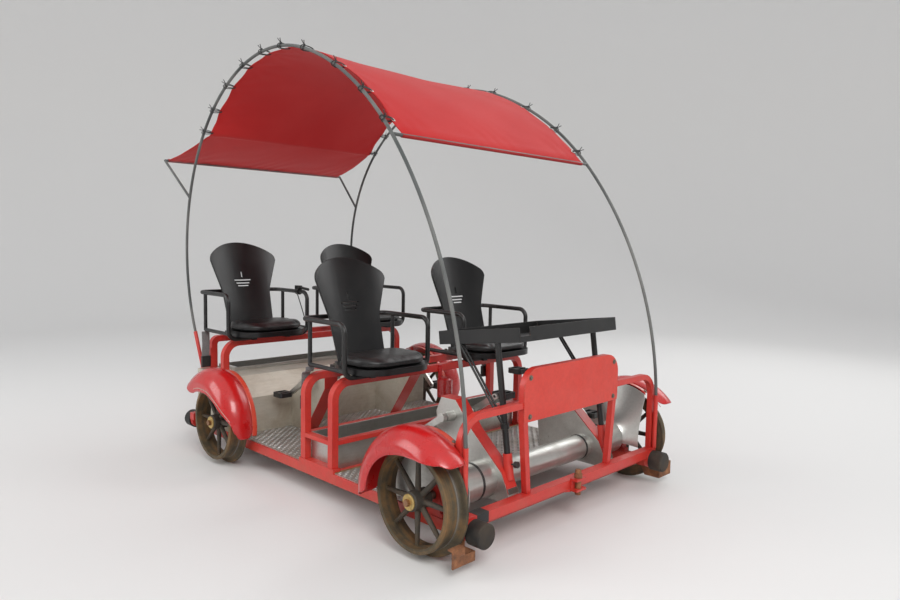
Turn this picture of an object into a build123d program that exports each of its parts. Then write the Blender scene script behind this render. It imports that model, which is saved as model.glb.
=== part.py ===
from build123d import *
from math import cos, radians, sin, tan
import os

# Four-seat pedal railcar with a bowed canopy. Millimetres, +X forward, +Y to its left, +Z up.
# Heights start at the lowest point of the wheel flanges. Lengths along X are worked out from the
# middle of the wheelbase, and each piece is shifted when it is written, so that the origin lies
# under the middle of the overall box.

# Wheels and axles
gauge = 1435
wheelbase = 1534
tread_radius = 193
flange_height = 30
flange_play = 8
flange_width = 17
tread_width = 63
rim_depth = 20
rim_edge = 3
groove_width = 5
hub_radius = 38
hub_length = 87
hub_stand_out = 5
hub_chamfer = 5
spoke_count = 8
spoke_root_radius = 12
spoke_tip_radius = 8.5
spoke_bite = 3
axle_radius = 17.5
cap_radius = 31
cap_height = 6
cap_chamfer = 2
nut_radius = 14
nut_height = 13
axle_box_radius = 40
axle_box_width = 34
axle_box_length = 104
axle_box_foot = 16
running_play = 0.05
axle_clearance = 12
seat_gap = 0.3

# Chassis
sill_y = 640
sill_width = 40
sill_height = 45
floor_top = 147
floor_thickness = 4
floor_setback = 8
raised_height = 20
raised_margin = 12
front_beam_x = 932
rear_beam_x = -1180
beam_depth = 44
beam_height = 40
beam_half_length = 687
inner_beam_setback = 64
cross_depth = 40

# Bumpers, couplings and rail sweepers
bumper_y = sill_y
bumper_z = 133
bumper_radius = 47
bumper_length = 64
bumper_setout = 33
stub_radius = 40
stub_length = 25
pad_chamfer = 4
coupling_pin_radius = 13
coupling_head_radius = 17
coupling_head_height = 18
coupling_pin_length = 72
coupling_pin_setout = 17
coupling_plate = 10
coupling_gap = 34
coupling_reach = 36
coupling_half_width = 34
coupling_play = 1
arm_bar_width = 26
arm_bar_wall = 12
arm_spread = 150
sweeper_wall = 6
sweeper_front_x = 992
sweeper_depth = 27
sweeper_outer_y = 774
sweeper_inner_y = 712
sweeper_bottom = 42
sweeper_top = 108
sweeper_low_top = 78

# Rows of seats
row_pitch = 1032
hoop_spacing = 212
hoop_tube = 34
hoop_bend_radius = 95
wide_hoop_half = 657
rear_row_half = 632
rear_bar_half = 592
rear_bar_bend_radius = 48
front_row_top = 560
rear_row_top = 620

# Seats
seat_y = 375
seat_rail_height = 22
seat_rail_width = 28
seat_rail_spacing = 210
seat_rail_front = 190
pan_front_x = 285
pan_length = 333
pan_half_width = 206
pan_rear_half_width = 146
pan_shoulder = 112
pan_front_radius = 124
pan_shoulder_radius = 70
pan_depth = 28
cushion_depth = 42
cushion_inset = 7
cushion_edge_radius = 16
cushion_setback = 40
back_lean = 18
back_reach = 532
back_foot_half_width = 138
back_waist = 232
back_waist_half_width = 150
back_wide = 405
back_half_width = 206
back_shoulder = 432
back_shoulder_radius = 60
back_bend_radius = 120
back_curve_radius = 430
back_wall = 10
slots = [  # height above the foot of the back, width, height
    (302, 108, 8),
    (284, 88, 8),
    (268, 72, 8),
    (336, 10, 36),
]

# Armrests, one bent tube round each seat
arm_radius = 11.5
arm_rail_radius = 10
arm_offset = 249
arm_front_x = 165
arm_rear_x = -168
arm_post_x = -98
arm_height = 226
arm_bend_radius = 45
arm_lower_rail_rise = 18

# Pedal units
crank_x = 585
rear_crank_x = -470
crank_z = 446
rear_crank_z = 440
crank_length = 162
arm_thickness = 14
arm_root_width = 30
arm_tip_width = 24
boss_radius = 19
boss_width = 22
spindle_radius = 9
bearing_radius = 21
bearing_stand_off = 4
pedal_pin_radius = 6
pedal_pin_inner = 8
pedal_length = 80
pedal_width = 76
pedal_height = 24
pedal_stand_off = 14
pedal_bar = 9
pedal_barrel_radius = 11
unit_y = 345
unit_width = 60
rear_unit_y = 300
rear_unit_width = 80
front_arm_offset = 88
rear_arm_offset = 100
strip_wall = 4
strip_lip = 14
strip_share = 0.78
crank_turns = {"right": 33, "left": -42}

# Wheel covers
cover_wall = 3
pipe_radius = 56
ring_radius = 76
ring_end_y = 520
drum_y = 550
drum_radius = 185
rear_wall_x = -700
rear_wall_top = 335
rear_slope_run = 92
rear_cover_top = 440

# Mudguards
guard_wall = 3
guard_flat_radius = 262
guard_crown_radius = 282
guard_skirt_radius = 214
guard_flat_width = 27
guard_crown_y = 750
guard_outer_y = 838
guard_end_angle = 39
guard_foot_angle = 188
guard_tab_radius = 178
guard_tab_width = 30
leg_clearance = 4
front_tab_angles = (62, 128)
rear_tab_angles = (78, 46)

# Front guard rail, board and pole feet
rail_tube = 26
rail_x = 923
outer_rail_y = 687
outer_rail_top = 556
outer_rail_radius = 110
inner_rail_foot_y = 304
inner_rail_top_y = 336
inner_rail_shoulder = 500
board_bottom = 474
board_top = 686
board_corner_radius = 86
board_wall = 4

# Canopy: bow of each pole, as arcs from the top of its front socket over to its rear socket
pole_radius = 7.5
pole_socket_radius = 10.5
pole_front_y = 676
pole_foot_z = 445
pole_set_off = 4
pole_heading = 92.2
bow_arcs = [  # radius, turn in degrees
    (1907, 36.7),
    (1452, 32.2),
    (955, 80.5),
    (1043, 54.4),
]
rear_socket_length = 254
bracket_wall = 6
bracket_bite = 1
bracket_height = 112
bracket_drop = 55
bracket_back = 67
bracket_shoulder = 30
canopy_wall = 4
canopy_inset = 40
canopy_front_turn = 38
canopy_rear_turn = 137
canopy_tail_x = -1598
canopy_tail_z = 1632
hem_bar_radius = 7
tail_half_width = 622
strut_tip_y = 640
strut_radius = 7
strut_turn = 160
strut_cut_turn = 12

# Tray and its posts
tray_length = 452
tray_half_width = 343
tray_wall_height = 58
tray_wall = 3
tray_tilt = 7.3
tray_front_x = 918
tray_front_z = 790
tray_notch_width = 60
tray_notch_height = 34
post_y = 338
post_radius = 13
post_lean = 8.3
post_foot_x = 860
post_foot_z = 338
cup_height = 104
cup_radius = 19
knob_radius = 13
knob_length = 14
knob_stem_radius = 4
knob_stem_length = 18
knob_rise = 62
brace_radius = 5
brace_spacing = 18
brace_top_x = 560
brace_collar_z = 446
collar_radius = 18
collar_height = 22

# Bins below the rows
bin_wall = 3
bin_rim_height = 20
bin_rim_top = 285
rear_bin_depth = 190
rear_bin_half_width = 530

# Canister, brake lever and belts
canister_radius = 38
canister_height = 95
canister_bottom = 404
canister_band = 12
canister_chamfer = 8
lever_setback = 90
clamp_wall = 7
clamp_length = 26
housing_length = 44
housing_width = 24
housing_height = 20
grip_radius = 8
grip_length = 102
belt_width = 46
belt_wall = 3
belt_length = 140
belt_lift = 2
belt_clearance = 10
buckle_length = 62
buckle_width = 50
buckle_wall = 16
cable_radius = 3
cable_bend_share = 0.45
cable_route = [  # steps from the lever's housing along, across and up
    (0, 0, 0),
    (-21, 0, 0),
    (-33, 22, -28),
    (-27, 36, -76),
    (-6, 42, -130),
    (24, 40, -180),
    (64, 32, -223),
    (99, 22, -263),
    (111, 14, -310),
    (117, 8, -375),
]

axle_z = tread_radius + flange_height
front_axle_x = wheelbase / 2
rear_axle_x = -wheelbase / 2
flange_root_y = gauge / 2 - flange_play
tread_end_y = flange_root_y + tread_width
flange_end_y = flange_root_y - flange_width
hub_end_y = tread_end_y + hub_stand_out
hub_middle_y = hub_end_y - hub_length / 2
sill_outer = sill_y + sill_width / 2
sill_inner = sill_y - sill_width / 2
sill_top = floor_top - floor_thickness
sill_bottom = sill_top - sill_height
beam_top = sill_top + beam_height
beam_back_x = front_beam_x - beam_depth / 2
front_stub_x = front_beam_x + bumper_setout
rear_stub_x = rear_beam_x - bumper_setout
front_end = front_stub_x + bumper_length
rear_end = canopy_tail_x - hem_bar_radius
middle_x = (front_end + rear_end) / 2
rear_row_x = -row_pitch
hoop_half = hoop_spacing / 2 + hoop_tube / 2
rear_back_x = rear_beam_x + beam_depth / 2
guard_inner_y = sill_outer + guard_wall
guard_flat_end_y = guard_inner_y + guard_flat_width
pole_foot_x = rail_x + rail_tube / 2 + pole_socket_radius + pole_set_off
pole_rear_y = rear_bar_half + bracket_wall + pole_socket_radius - bracket_bite
rows = {"front": (0, front_row_top), "rear": (rear_row_x, rear_row_top)}
sides = {"right": -1, "left": 1}
on_base = (Align.CENTER, Align.CENTER, Align.MIN)
from_top = (Align.CENTER, Align.CENTER, Align.MAX)


# A block between two values on each axis
def block(x, y, z):
    size = Box(x[1] - x[0], y[1] - y[0], z[1] - z[0])
    return Pos((x[0] + x[1]) / 2, (y[0] + y[1]) / 2, (z[0] + z[1]) / 2) * size


# A disc or drum across the car, centred on a point
def cross_cylinder(x, y, z, radius, length):
    return Pos(x, y, z) * Rot(90, 0, 0) * Cylinder(radius, length)


# The piece and its copy across the middle plane
def both(piece):
    return [piece, piece.mirror(Plane.XZ)]


# A straight round bar between two points
def round_bar(start, end, radius):
    run = Vector(*end) - Vector(*start)
    return extrude(Plane(origin=start, z_dir=run) * Circle(radius), run.length)


# A round bar along straight runs with tangent bends
def bent_bar(points, bend_radius, radius):
    path = FilletPolyline(*points, radius=bend_radius)
    return sweep(Plane(origin=path @ 0, z_dir=path % 0) * Circle(radius), path=path)


# An outline in the upright plane along the car, thick across it and centred on one y
def side_plate(points, y, width):
    face = Plane.XZ * make_face(Polyline(*points, close=True))
    return Pos(0, y, 0) * extrude(face, width / 2, both=True)


# A folded sheet along the points, in the same plane
def side_fold(points, y, width, wall, side=Side.LEFT):
    band = offset(Polyline(*points), wall, kind=Kind.INTERSECTION, side=side, closed=True)
    return Pos(0, y, 0) * extrude(Plane.XZ * make_face(band.edges()), width / 2, both=True)


# One file for each named piece
def write(name, pieces):
    pieces = pieces if isinstance(pieces, list) else [pieces]
    solids = [Pos(-middle_x, 0, 0) * solid for piece in pieces for solid in piece.solids()]
    export_step(Compound(solids) if len(solids) > 1 else solids[0], f"parts/{name}.step")


# Two sills, two end beams and cross members in one weldment
def chassis_frame():
    sill_run = (rear_stub_x + stub_length, front_stub_x - stub_length)
    sill = block(sill_run, (sill_inner, sill_outer), (sill_bottom, sill_top))
    half_raise = hoop_half + raised_margin
    raise_top = sill_top + raised_height
    raised = block((-half_raise, half_raise), (sill_inner, sill_outer), (sill_top, raise_top))
    frame = Part() + both(sill) + both(raised)
    for x in (front_beam_x, rear_beam_x):
        span = (x - beam_depth / 2, x + beam_depth / 2)
        frame += block(span, (-beam_half_length, beam_half_length), (sill_top, beam_top))
    cross_places = [
        front_beam_x - inner_beam_setback,
        (hoop_half + front_axle_x - drum_radius) / 2,
        hoop_spacing / 2,
        -hoop_spacing / 2,
        (rear_wall_x - hoop_half) / 2,
        rear_wall_x - cross_depth / 2,
    ]
    for x in cross_places:
        span = (x - cross_depth / 2, x + cross_depth / 2)
        frame += block(span, (-sill_inner, sill_inner), (sill_bottom, sill_top))
    for end, x in ((1, front_stub_x), (-1, rear_stub_x)):
        stub = Rot(0, 90, 0) * Cylinder(stub_radius, stub_length)
        frame += both(Pos(x - end * stub_length / 2, bumper_y, bumper_z) * stub)
    return frame


# Round rubber pads on the bumper stubs
def bumper_pads():
    pads = []
    for turn, x in ((90, front_stub_x), (-90, rear_stub_x)):
        pad = Cylinder(bumper_radius, bumper_length, align=on_base)
        pad = chamfer(pad.faces().sort_by(Axis.Z)[-1].edges(), pad_chamfer)
        pads += both(Pos(x, bumper_y, bumper_z) * Rot(0, turn, 0) * pad)
    return pads


# Forked tow hitch on the front beam, with two bars back to the inner beam
def front_hitch():
    beam_face = front_beam_x + beam_depth / 2
    pin_x = beam_face + coupling_pin_setout
    middle_z = (sill_top + beam_top) / 2
    half_gap = coupling_gap / 2
    span = (beam_face, beam_face + coupling_reach)
    width = (-coupling_half_width, coupling_half_width)
    fork = block(span, width, (middle_z - half_gap - coupling_plate, middle_z - half_gap))
    fork += block(span, width, (middle_z + half_gap, middle_z + half_gap + coupling_plate))
    back = (beam_face, beam_face + coupling_plate)
    fork += block(back, width, (middle_z - half_gap, middle_z + half_gap))
    bore = Cylinder(coupling_pin_radius + coupling_play, 4 * coupling_gap)
    fork -= Pos(pin_x, 0, middle_z) * bore
    inner_face = front_beam_x - inner_beam_setback + cross_depth / 2
    pieces = [fork]
    for side in sides.values():
        plan = Polyline(
            (inner_face, side * arm_spread),
            (inner_face, side * (arm_spread - arm_bar_width)),
            (beam_face, side * (coupling_half_width - arm_bar_width)),
            (beam_face, side * coupling_half_width),
            close=True,
        )
        bar = extrude(make_face(plan), arm_bar_wall / 2, both=True)
        pieces.append(Pos(0, 0, sill_top - arm_bar_wall / 2) * bar)
    return pieces


# Drop pin of the hitch
def hitch_pin():
    pin_x = front_beam_x + beam_depth / 2 + coupling_pin_setout
    middle_z = (sill_top + beam_top) / 2
    seat_z = middle_z + coupling_gap / 2 + coupling_plate
    pin = Cylinder(coupling_pin_radius, coupling_pin_length, align=from_top)
    pin += Cylinder(coupling_head_radius, coupling_head_height, align=on_base)
    neck = Cylinder(coupling_pin_radius, coupling_head_height, align=on_base)
    pin += Pos(0, 0, coupling_head_height) * neck
    pin = chamfer(pin.faces().sort_by(Axis.Z)[-1].edges(), cap_chamfer)
    return Pos(pin_x, 0, seat_z) * pin


# Tow eye in the middle of the rear beam
def rear_eye():
    face = rear_beam_x - beam_depth / 2
    middle_z = (sill_top + beam_top) / 2
    pin_x = face - coupling_half_width
    width = (-coupling_half_width, coupling_half_width)
    eye = block((pin_x, face), width, (-coupling_plate, coupling_plate))
    eye += Pos(pin_x, 0, 0) * Cylinder(coupling_half_width, 2 * coupling_plate)
    eye -= Pos(pin_x, 0, 0) * Cylinder(coupling_pin_radius + coupling_play, 4 * coupling_plate)
    return Pos(0, 0, middle_z) * eye


# Bent steel angle ahead of each front wheel, hung from the sill by a plate
def rail_sweepers():
    back = sweeper_front_x - sweeper_depth
    sill_end = front_stub_x - stub_length
    hanger_back = sill_end - 2 * sweeper_depth
    hanger_top = sill_top - sweeper_wall
    outline = [
        (hanger_back, hanger_top),
        (hanger_back, sill_bottom),
        (hanger_back + sweeper_depth, sweeper_bottom),
        (sweeper_front_x, sweeper_bottom),
        (sweeper_front_x, sweeper_low_top),
        (sill_end, sweeper_low_top),
        (sill_end, hanger_top),
    ]
    piece = side_plate(outline, sill_outer + sweeper_wall / 2, sweeper_wall)
    face = (sweeper_front_x - sweeper_wall, sweeper_front_x)
    piece += block(face, (sill_outer + sweeper_wall, sweeper_inner_y), (sweeper_bottom, sweeper_low_top))
    piece += block(face, (sweeper_inner_y, sweeper_outer_y), (sweeper_bottom, sweeper_top))
    ledge = (back, sweeper_front_x - sweeper_wall)
    piece += block(ledge, (sweeper_inner_y, sweeper_outer_y), (sweeper_top - sweeper_wall, sweeper_top))
    return both(piece)


# Spoked cast wheel with a flat tread, a groove and an inner flange
def wheel(x, side):
    inner = tread_radius - rim_depth
    flange_radius = tread_radius + flange_height
    outline = [
        (inner, tread_end_y),
        (tread_radius - rim_edge, tread_end_y),
        (tread_radius, tread_end_y - rim_edge),
        (tread_radius, flange_root_y + groove_width),
        (tread_radius - rim_edge, flange_root_y + groove_width / 2),
        (tread_radius + 2 * rim_edge, flange_root_y - rim_edge),
        (flange_radius - rim_edge, flange_root_y - 3 * rim_edge),
        (flange_radius, flange_root_y - 5 * rim_edge),
        (flange_radius - rim_edge, flange_end_y),
        (inner, flange_end_y),
    ]
    body = revolve(make_face(Polyline(*outline, close=True)), Axis.Y)
    hub = Rot(90, 0, 0) * Cylinder(hub_radius, hub_length)
    hub = chamfer(hub.edges().filter_by(GeomType.CIRCLE), hub_chamfer)
    body += Pos(0, hub_middle_y, 0) * hub
    start = hub_radius - 2 * spoke_bite
    end = inner + spoke_bite
    spoke = Pos(0, 0, (start + end) / 2) * Cone(spoke_root_radius, spoke_tip_radius, end - start)
    for index in range(spoke_count):
        body += Pos(0, hub_middle_y, 0) * Rot(0, index * 360 / spoke_count, 0) * spoke
    body -= Pos(0, hub_middle_y, 0) * Rot(90, 0, 0) * Cylinder(axle_radius, 2 * hub_length)
    body = body if side > 0 else body.mirror(Plane.XZ)
    return Pos(x, 0, axle_z) * body


# Through axle with a cap and a nut on each end
def axle(x):
    bar = Rot(90, 0, 0) * Cylinder(axle_radius, 2 * hub_end_y)
    cap = Rot(-90, 0, 0) * Cylinder(cap_radius, cap_height, align=on_base)
    cap = chamfer(cap.faces().sort_by(Axis.Y)[-1].edges(), cap_chamfer)
    nut = Rot(-90, 0, 0) * extrude(RegularPolygon(nut_radius, 6), nut_height)
    end = Pos(0, hub_end_y, 0) * (cap + Pos(0, cap_height, 0) * nut)
    return Pos(x, 0, axle_z) * (Part() + [bar] + both(end))


# Pillow blocks that stand on the sills and carry the axles
def axle_boxes():
    blocks = []
    y = (sill_y - axle_box_width / 2, sill_y + axle_box_width / 2)
    for x in (front_axle_x, rear_axle_x):
        half = axle_box_length / 2
        piece = block((x - half, x + half), y, (sill_top, sill_top + axle_box_foot))
        piece += block((x - axle_box_radius, x + axle_box_radius), y, (sill_top, axle_z))
        piece += cross_cylinder(x, sill_y, axle_z, axle_box_radius, axle_box_width)
        piece -= cross_cylinder(x, sill_y, axle_z, axle_radius + running_play, 2 * axle_box_width)
        blocks += both(piece)
    return blocks


# Tread plates on the sills, behind and ahead of the front row
def floor_panels():
    edge = sill_outer - floor_setback
    gap = hoop_half + raised_margin
    drum_back = front_axle_x - drum_radius - seat_gap
    pipe_back = front_axle_x - ring_radius - seat_gap
    z = (sill_top, floor_top)
    rear = block((rear_wall_x, -gap), (-edge, edge), z)
    front = block((gap, drum_back), (-edge, edge), z)
    front += block((drum_back, pipe_back), (-ring_end_y, ring_end_y), z)
    return [rear, front]


front_unit = [  # x, z round the case from the foot of its rear edge
    (crank_x - 60, floor_top),
    (crank_x - 96, crank_z + 6),
    (crank_x - 67, crank_z + 69),
    (crank_x + 17, crank_z + 69),
    (crank_x + 115, crank_z - 41),
    (crank_x + 278, crank_z - 182),
    (beam_back_x, sill_top + 24),
    (beam_back_x, floor_top),
]
rear_unit = [
    (rear_wall_x, floor_top),
    (rear_crank_x - 90, floor_top),
    (rear_crank_x + 84, rear_crank_z - 40),
    (rear_crank_x + 84, rear_crank_z + 24),
    (rear_crank_x + 50, rear_crank_z + 60),
    (rear_crank_x - 20, rear_crank_z + 50),
    (rear_wall_x, rear_wall_top),
]
nose_high = front_unit[5]
nose_low = front_unit[6]
strip_end = tuple(a + (b - a) * strip_share for a, b in zip(nose_high, nose_low))
front_strip_run = front_unit[2:6] + [strip_end]
rear_strip_run = rear_unit[6:3:-1]
rear_nose_run = rear_unit[1:4]


# Chain case with a bearing tube through it for the pedal spindle
def pedal_case(outline, y, width, crank, arm_offset_y):
    tube_half = arm_offset_y - boss_width / 2 - bearing_stand_off
    case = side_plate(outline, y, width)
    case += cross_cylinder(crank[0], y, crank[1], bearing_radius, 2 * tube_half)
    case -= cross_cylinder(crank[0], y, crank[1], spindle_radius + running_play, 4 * arm_offset_y)
    return case


def front_cases():
    case = pedal_case(front_unit, unit_y, unit_width, (crank_x, crank_z), front_arm_offset)
    case -= cross_cylinder(front_axle_x, unit_y, axle_z, pipe_radius - cover_wall, 2 * unit_width)
    return both(case)


def rear_cases():
    crank = (rear_crank_x, rear_crank_z)
    return both(pedal_case(rear_unit, rear_unit_y, rear_unit_width, crank, rear_arm_offset))


# Painted flat bars bent along the top and front edges of the cases
def case_strips():
    strips = both(side_fold(front_strip_run, unit_y, unit_width, strip_wall))
    half = rear_unit_width / 2 - strip_lip / 2
    for end in (-1, 1):
        strips += both(side_fold(rear_strip_run, rear_unit_y + end * half, strip_lip, strip_wall))
    nose = side_fold(rear_nose_run, rear_unit_y, rear_unit_width, strip_wall, Side.RIGHT)
    nose -= block((rear_wall_x, 0), (0, gauge), (0, floor_top))
    return strips + both(nose)


# Two arms a half turn apart on one spindle, the left one raised by a turn
def crank_set(x, y, z, arm_offset_y, turn):
    half_root = arm_root_width / 2
    half_tip = arm_tip_width / 2
    outline = [(0, -half_root), (crank_length, -half_tip), (crank_length, half_tip), (0, half_root)]
    arm = side_plate(outline, 0, arm_thickness)
    arm += cross_cylinder(crank_length, 0, 0, half_tip, arm_thickness)
    arm += cross_cylinder(0, 0, 0, boss_radius, boss_width)
    arm -= cross_cylinder(crank_length, 0, 0, pedal_pin_radius + running_play, 2 * boss_width)
    crank = cross_cylinder(0, 0, 0, spindle_radius, 2 * arm_offset_y + boss_width)
    crank += Pos(0, arm_offset_y, 0) * arm
    crank += Pos(0, -arm_offset_y, 0) * Rot(0, 180, 0) * arm
    return Pos(x, y, z) * Rot(0, -turn, 0) * crank


# Cage pedal: a pin and barrel with a frame round them
def pedal(side):
    middle = pedal_stand_off + pedal_width / 2
    frame = Pos(0, middle, 0) * Box(pedal_length, pedal_width, pedal_height)
    frame = chamfer(frame.edges().filter_by(Axis.Z), pedal_bar)
    window = pedal_length / 2 - pedal_bar - pedal_barrel_radius
    for end in (-1, 1):
        x = end * (pedal_barrel_radius + window / 2)
        frame -= Pos(x, middle, 0) * Box(window, pedal_width - 2 * pedal_bar, 2 * pedal_height)
    pin_length = pedal_pin_inner + pedal_stand_off
    pin = cross_cylinder(0, pedal_stand_off - pin_length / 2, 0, pedal_pin_radius, pin_length)
    frame += pin
    return frame if side > 0 else frame.mirror(Plane.XZ)


# Sheet tube round the front axle that steps up to a drum beside each wheel
def front_axle_cover():
    case_inner = unit_y - unit_width / 2
    case_outer = unit_y + unit_width / 2
    pipe = Cylinder(pipe_radius, 2 * case_inner) - Cylinder(pipe_radius - cover_wall, 2 * case_inner)
    wall = cover_wall
    outline = [
        (ring_radius, case_outer),
        (ring_radius, ring_end_y),
        (drum_radius, drum_y),
        (drum_radius, sill_outer),
        (drum_radius - wall, sill_outer),
        (drum_radius - wall, drum_y + wall),
        (ring_radius - wall, ring_end_y + wall),
        (ring_radius - wall, case_outer),
    ]
    drum = revolve(make_face(Polyline(*outline, close=True)), Axis.Y)
    drum = Pos(front_axle_x, 0, axle_z) * drum
    drum -= block((0, 2 * front_axle_x), (0, gauge), (-axle_z, sill_top))
    drum -= block((beam_back_x, 2 * front_axle_x), (0, gauge), (0, beam_top))
    return [Pos(front_axle_x, 0, axle_z) * Rot(90, 0, 0) * pipe] + both(drum)


# Folded sheet box over the rear axle, with a hole for the axle and one for the bin
def rear_axle_cover():
    top = rear_cover_top
    wall = cover_wall
    slope_x = rear_wall_x - rear_slope_run
    outline = [
        (rear_wall_x, sill_top),
        (rear_wall_x, rear_wall_top),
        (slope_x, top),
        (rear_back_x, top),
        (rear_back_x, sill_top),
    ]
    cover = side_plate(outline, 0, 2 * sill_outer)
    inside = [
        (rear_wall_x - wall, sill_top - wall),
        (rear_wall_x - wall, rear_wall_top - wall / 2),
        (slope_x - wall / 2, top - wall),
        (rear_back_x + wall, top - wall),
        (rear_back_x + wall, sill_top - wall),
    ]
    cover -= side_plate(inside, 0, 2 * (sill_outer - wall))
    hole = axle_radius + axle_clearance
    cover -= cross_cylinder(rear_axle_x, 0, axle_z, hole, 4 * sill_outer)
    half_x = hoop_spacing / 2 - hoop_tube / 2
    half_y = rear_bin_half_width
    x = (rear_row_x - half_x, rear_row_x + half_x)
    cover -= block(x, (-half_y, half_y), (top - 2 * wall, top + wall))
    return cover


# Mudguards over one axle: a flat inner strip, a round crown and a deep outer skirt
def mudguards(axle_x, direction, tab_angles):
    flat = Line((guard_flat_radius, guard_inner_y), (guard_flat_radius, guard_flat_end_y))
    crown = ThreePointArc(
        (guard_flat_radius, guard_flat_end_y),
        (guard_crown_radius, guard_crown_y),
        (guard_skirt_radius, guard_outer_y),
    )
    band = offset(Wire([flat, crown]), guard_wall, side=Side.LEFT, closed=True)
    swept = guard_foot_angle - guard_end_angle
    shell = revolve(make_face(band.edges()), Axis.Y, revolution_arc=swept)
    guard = Rot(0, -guard_foot_angle, 0) * shell
    half = guard_tab_width / 2
    for angle in tab_angles:
        reach = (guard_tab_radius, guard_flat_radius - guard_wall / 2)
        tab = block(reach, (sill_outer, guard_inner_y), (-half, half))
        lip = (guard_flat_radius - 2 * guard_wall, guard_flat_radius - guard_wall / 2)
        tab += block(lip, (sill_outer, guard_flat_end_y), (-half, half))
        guard += Rot(0, -angle, 0) * tab
    if direction < 0:
        guard = guard.mirror(Plane.YZ)
    leg_room = block(
        (rail_x - rail_tube / 2 - leg_clearance, pole_foot_x + pole_socket_radius + leg_clearance),
        (0, outer_rail_y + leg_clearance),
        (0, outer_rail_top),
    )
    return both(Pos(axle_x, 0, axle_z) * guard - leg_room)


# A square tube standing across the car: up one side, over and down the other
def standing_hoop(x, half_width, bottom, top, bend_radius, tube):
    height = top - bottom
    outer = fillet(Rectangle(2 * half_width, 2 * height).vertices(), bend_radius)
    inner = Rectangle(2 * (half_width - tube), 2 * (height - tube))
    inner = fillet(inner.vertices(), bend_radius - tube)
    upper = Pos(0, height / 2) * Rectangle(2 * half_width, height)
    across = Plane(origin=(x - tube / 2, 0, bottom), x_dir=(0, 1, 0), z_dir=(1, 0, 0))
    return extrude(across * ((outer - inner) & upper), tube)


# Two hoops of the front row with the rim of its bin between their legs
def front_seat_frame():
    bottom = sill_top + raised_height
    frame = Part()
    z = (bin_rim_top - bin_rim_height, bin_rim_top)
    leg_inner = wide_hoop_half - hoop_tube
    for x in (-hoop_spacing / 2, hoop_spacing / 2):
        frame += standing_hoop(x, wide_hoop_half, bottom, front_row_top, hoop_bend_radius, hoop_tube)
        frame += block((x - hoop_tube / 2, x + hoop_tube / 2), (-leg_inner, leg_inner), z)
    span = (-hoop_spacing / 2, hoop_spacing / 2)
    frame += both(block(span, (leg_inner, wide_hoop_half), z))
    return frame


# Two hoops of the rear row, which stand on the rear cover
def rear_seat_frame():
    foot = rear_cover_top
    top = rear_row_top
    front = rear_row_x + hoop_spacing / 2
    rear = rear_row_x - hoop_spacing / 2
    return [
        standing_hoop(front, rear_row_half, foot, top, hoop_bend_radius, hoop_tube),
        standing_hoop(rear, rear_bar_half, foot, top, rear_bar_bend_radius, hoop_tube),
    ]


# Open sheet bin
def sheet_bin(x, half_x, half_y, bottom, top):
    outer = block((x - half_x, x + half_x), (-half_y, half_y), (bottom, top))
    inner_x = (x - half_x + bin_wall, x + half_x - bin_wall)
    inner_y = (-half_y + bin_wall, half_y - bin_wall)
    return outer - block(inner_x, inner_y, (bottom + bin_wall, top + bin_wall))


def front_bin():
    return sheet_bin(0, hoop_spacing / 2 - hoop_tube / 2, sill_inner, sill_top, bin_rim_top)


# Bin of the rear row, which hangs by its rim in the top of the rear cover
def rear_bin():
    half_x = hoop_spacing / 2 - hoop_tube / 2
    top = rear_cover_top + bin_rim_height
    body_half = rear_bin_half_width - seat_gap
    body = sheet_bin(rear_row_x, half_x - seat_gap, body_half, top - rear_bin_depth, top)
    span = (rear_row_x - half_x, rear_row_x + half_x)
    rim_half = rear_bin_half_width + bin_rim_height
    for side in sides.values():
        low, high = sorted((side * body_half, side * rim_half))
        body += block(span, (low, high), (rear_cover_top, top))
    return body


# Outline of a seat pan, seen from above, with its rear edge at the origin
def pan_outline(inset):
    half = pan_half_width - inset
    rear = pan_rear_half_width - inset
    front = pan_length - inset
    points = [(inset, -rear), (pan_shoulder, -half), (front, -half)]
    points += [(x, -y) for x, y in reversed(points)]
    face = make_face(Polyline(*points, close=True))
    front_corners = [v for v in face.vertices() if v.X > front - 1]
    face = fillet(front_corners, pan_front_radius - inset)
    shoulders = [v for v in face.vertices() if abs(v.X - pan_shoulder) < 1]
    return fillet(shoulders, pan_shoulder_radius)


# Bucket back: an outline that widens from a waist, bent round the sitter, with vent slots
def seat_back():
    points = [
        (-back_foot_half_width, 0),
        (-back_waist_half_width, back_waist),
        (-back_half_width, back_wide),
        (-back_half_width, back_shoulder),
    ]
    right = [(-x, y) for x, y in reversed(points)]
    top = ThreePointArc(points[-1], (0, back_reach), right[0])
    outline = Polyline(*points).edges() + [top] + Polyline(*right).edges() + [Line(right[-1], points[0])]
    face = make_face(outline)
    shoulders = [v for v in face.vertices() if abs(v.Y - back_shoulder) < 1]
    face = fillet(shoulders, back_shoulder_radius)
    waist = [v for v in face.vertices() if abs(v.Y - back_waist) < 1]
    face = fillet(waist, back_bend_radius)
    for height, width, tall in slots:
        turn = 90 if tall > width else 0
        face -= Pos(0, height) * Rot(0, 0, turn) * SlotOverall(max(width, tall), min(width, tall))
    blank = extrude(Plane.YZ * face, back_curve_radius, both=True)
    height = 2 * back_reach
    shell = Cylinder(back_curve_radius, height) - Cylinder(back_curve_radius - back_wall, height)
    shell -= Pos(back_curve_radius / 2, 0, 0) * Box(back_curve_radius, 2 * back_curve_radius, height)
    return blank & (Pos(back_curve_radius, 0, 0) * shell)


# Pan and back moulded as one shell
def seat_shell():
    pan = extrude(pan_outline(0), pan_depth)
    back = Rot(0, -back_lean, 0) * seat_back()
    below = Pos(0, 0, -back_reach / 2) * Box(4 * back_reach, 4 * back_reach, back_reach)
    return Pos(pan_front_x - pan_length, 0, 0) * ((pan + back) - below)


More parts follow.
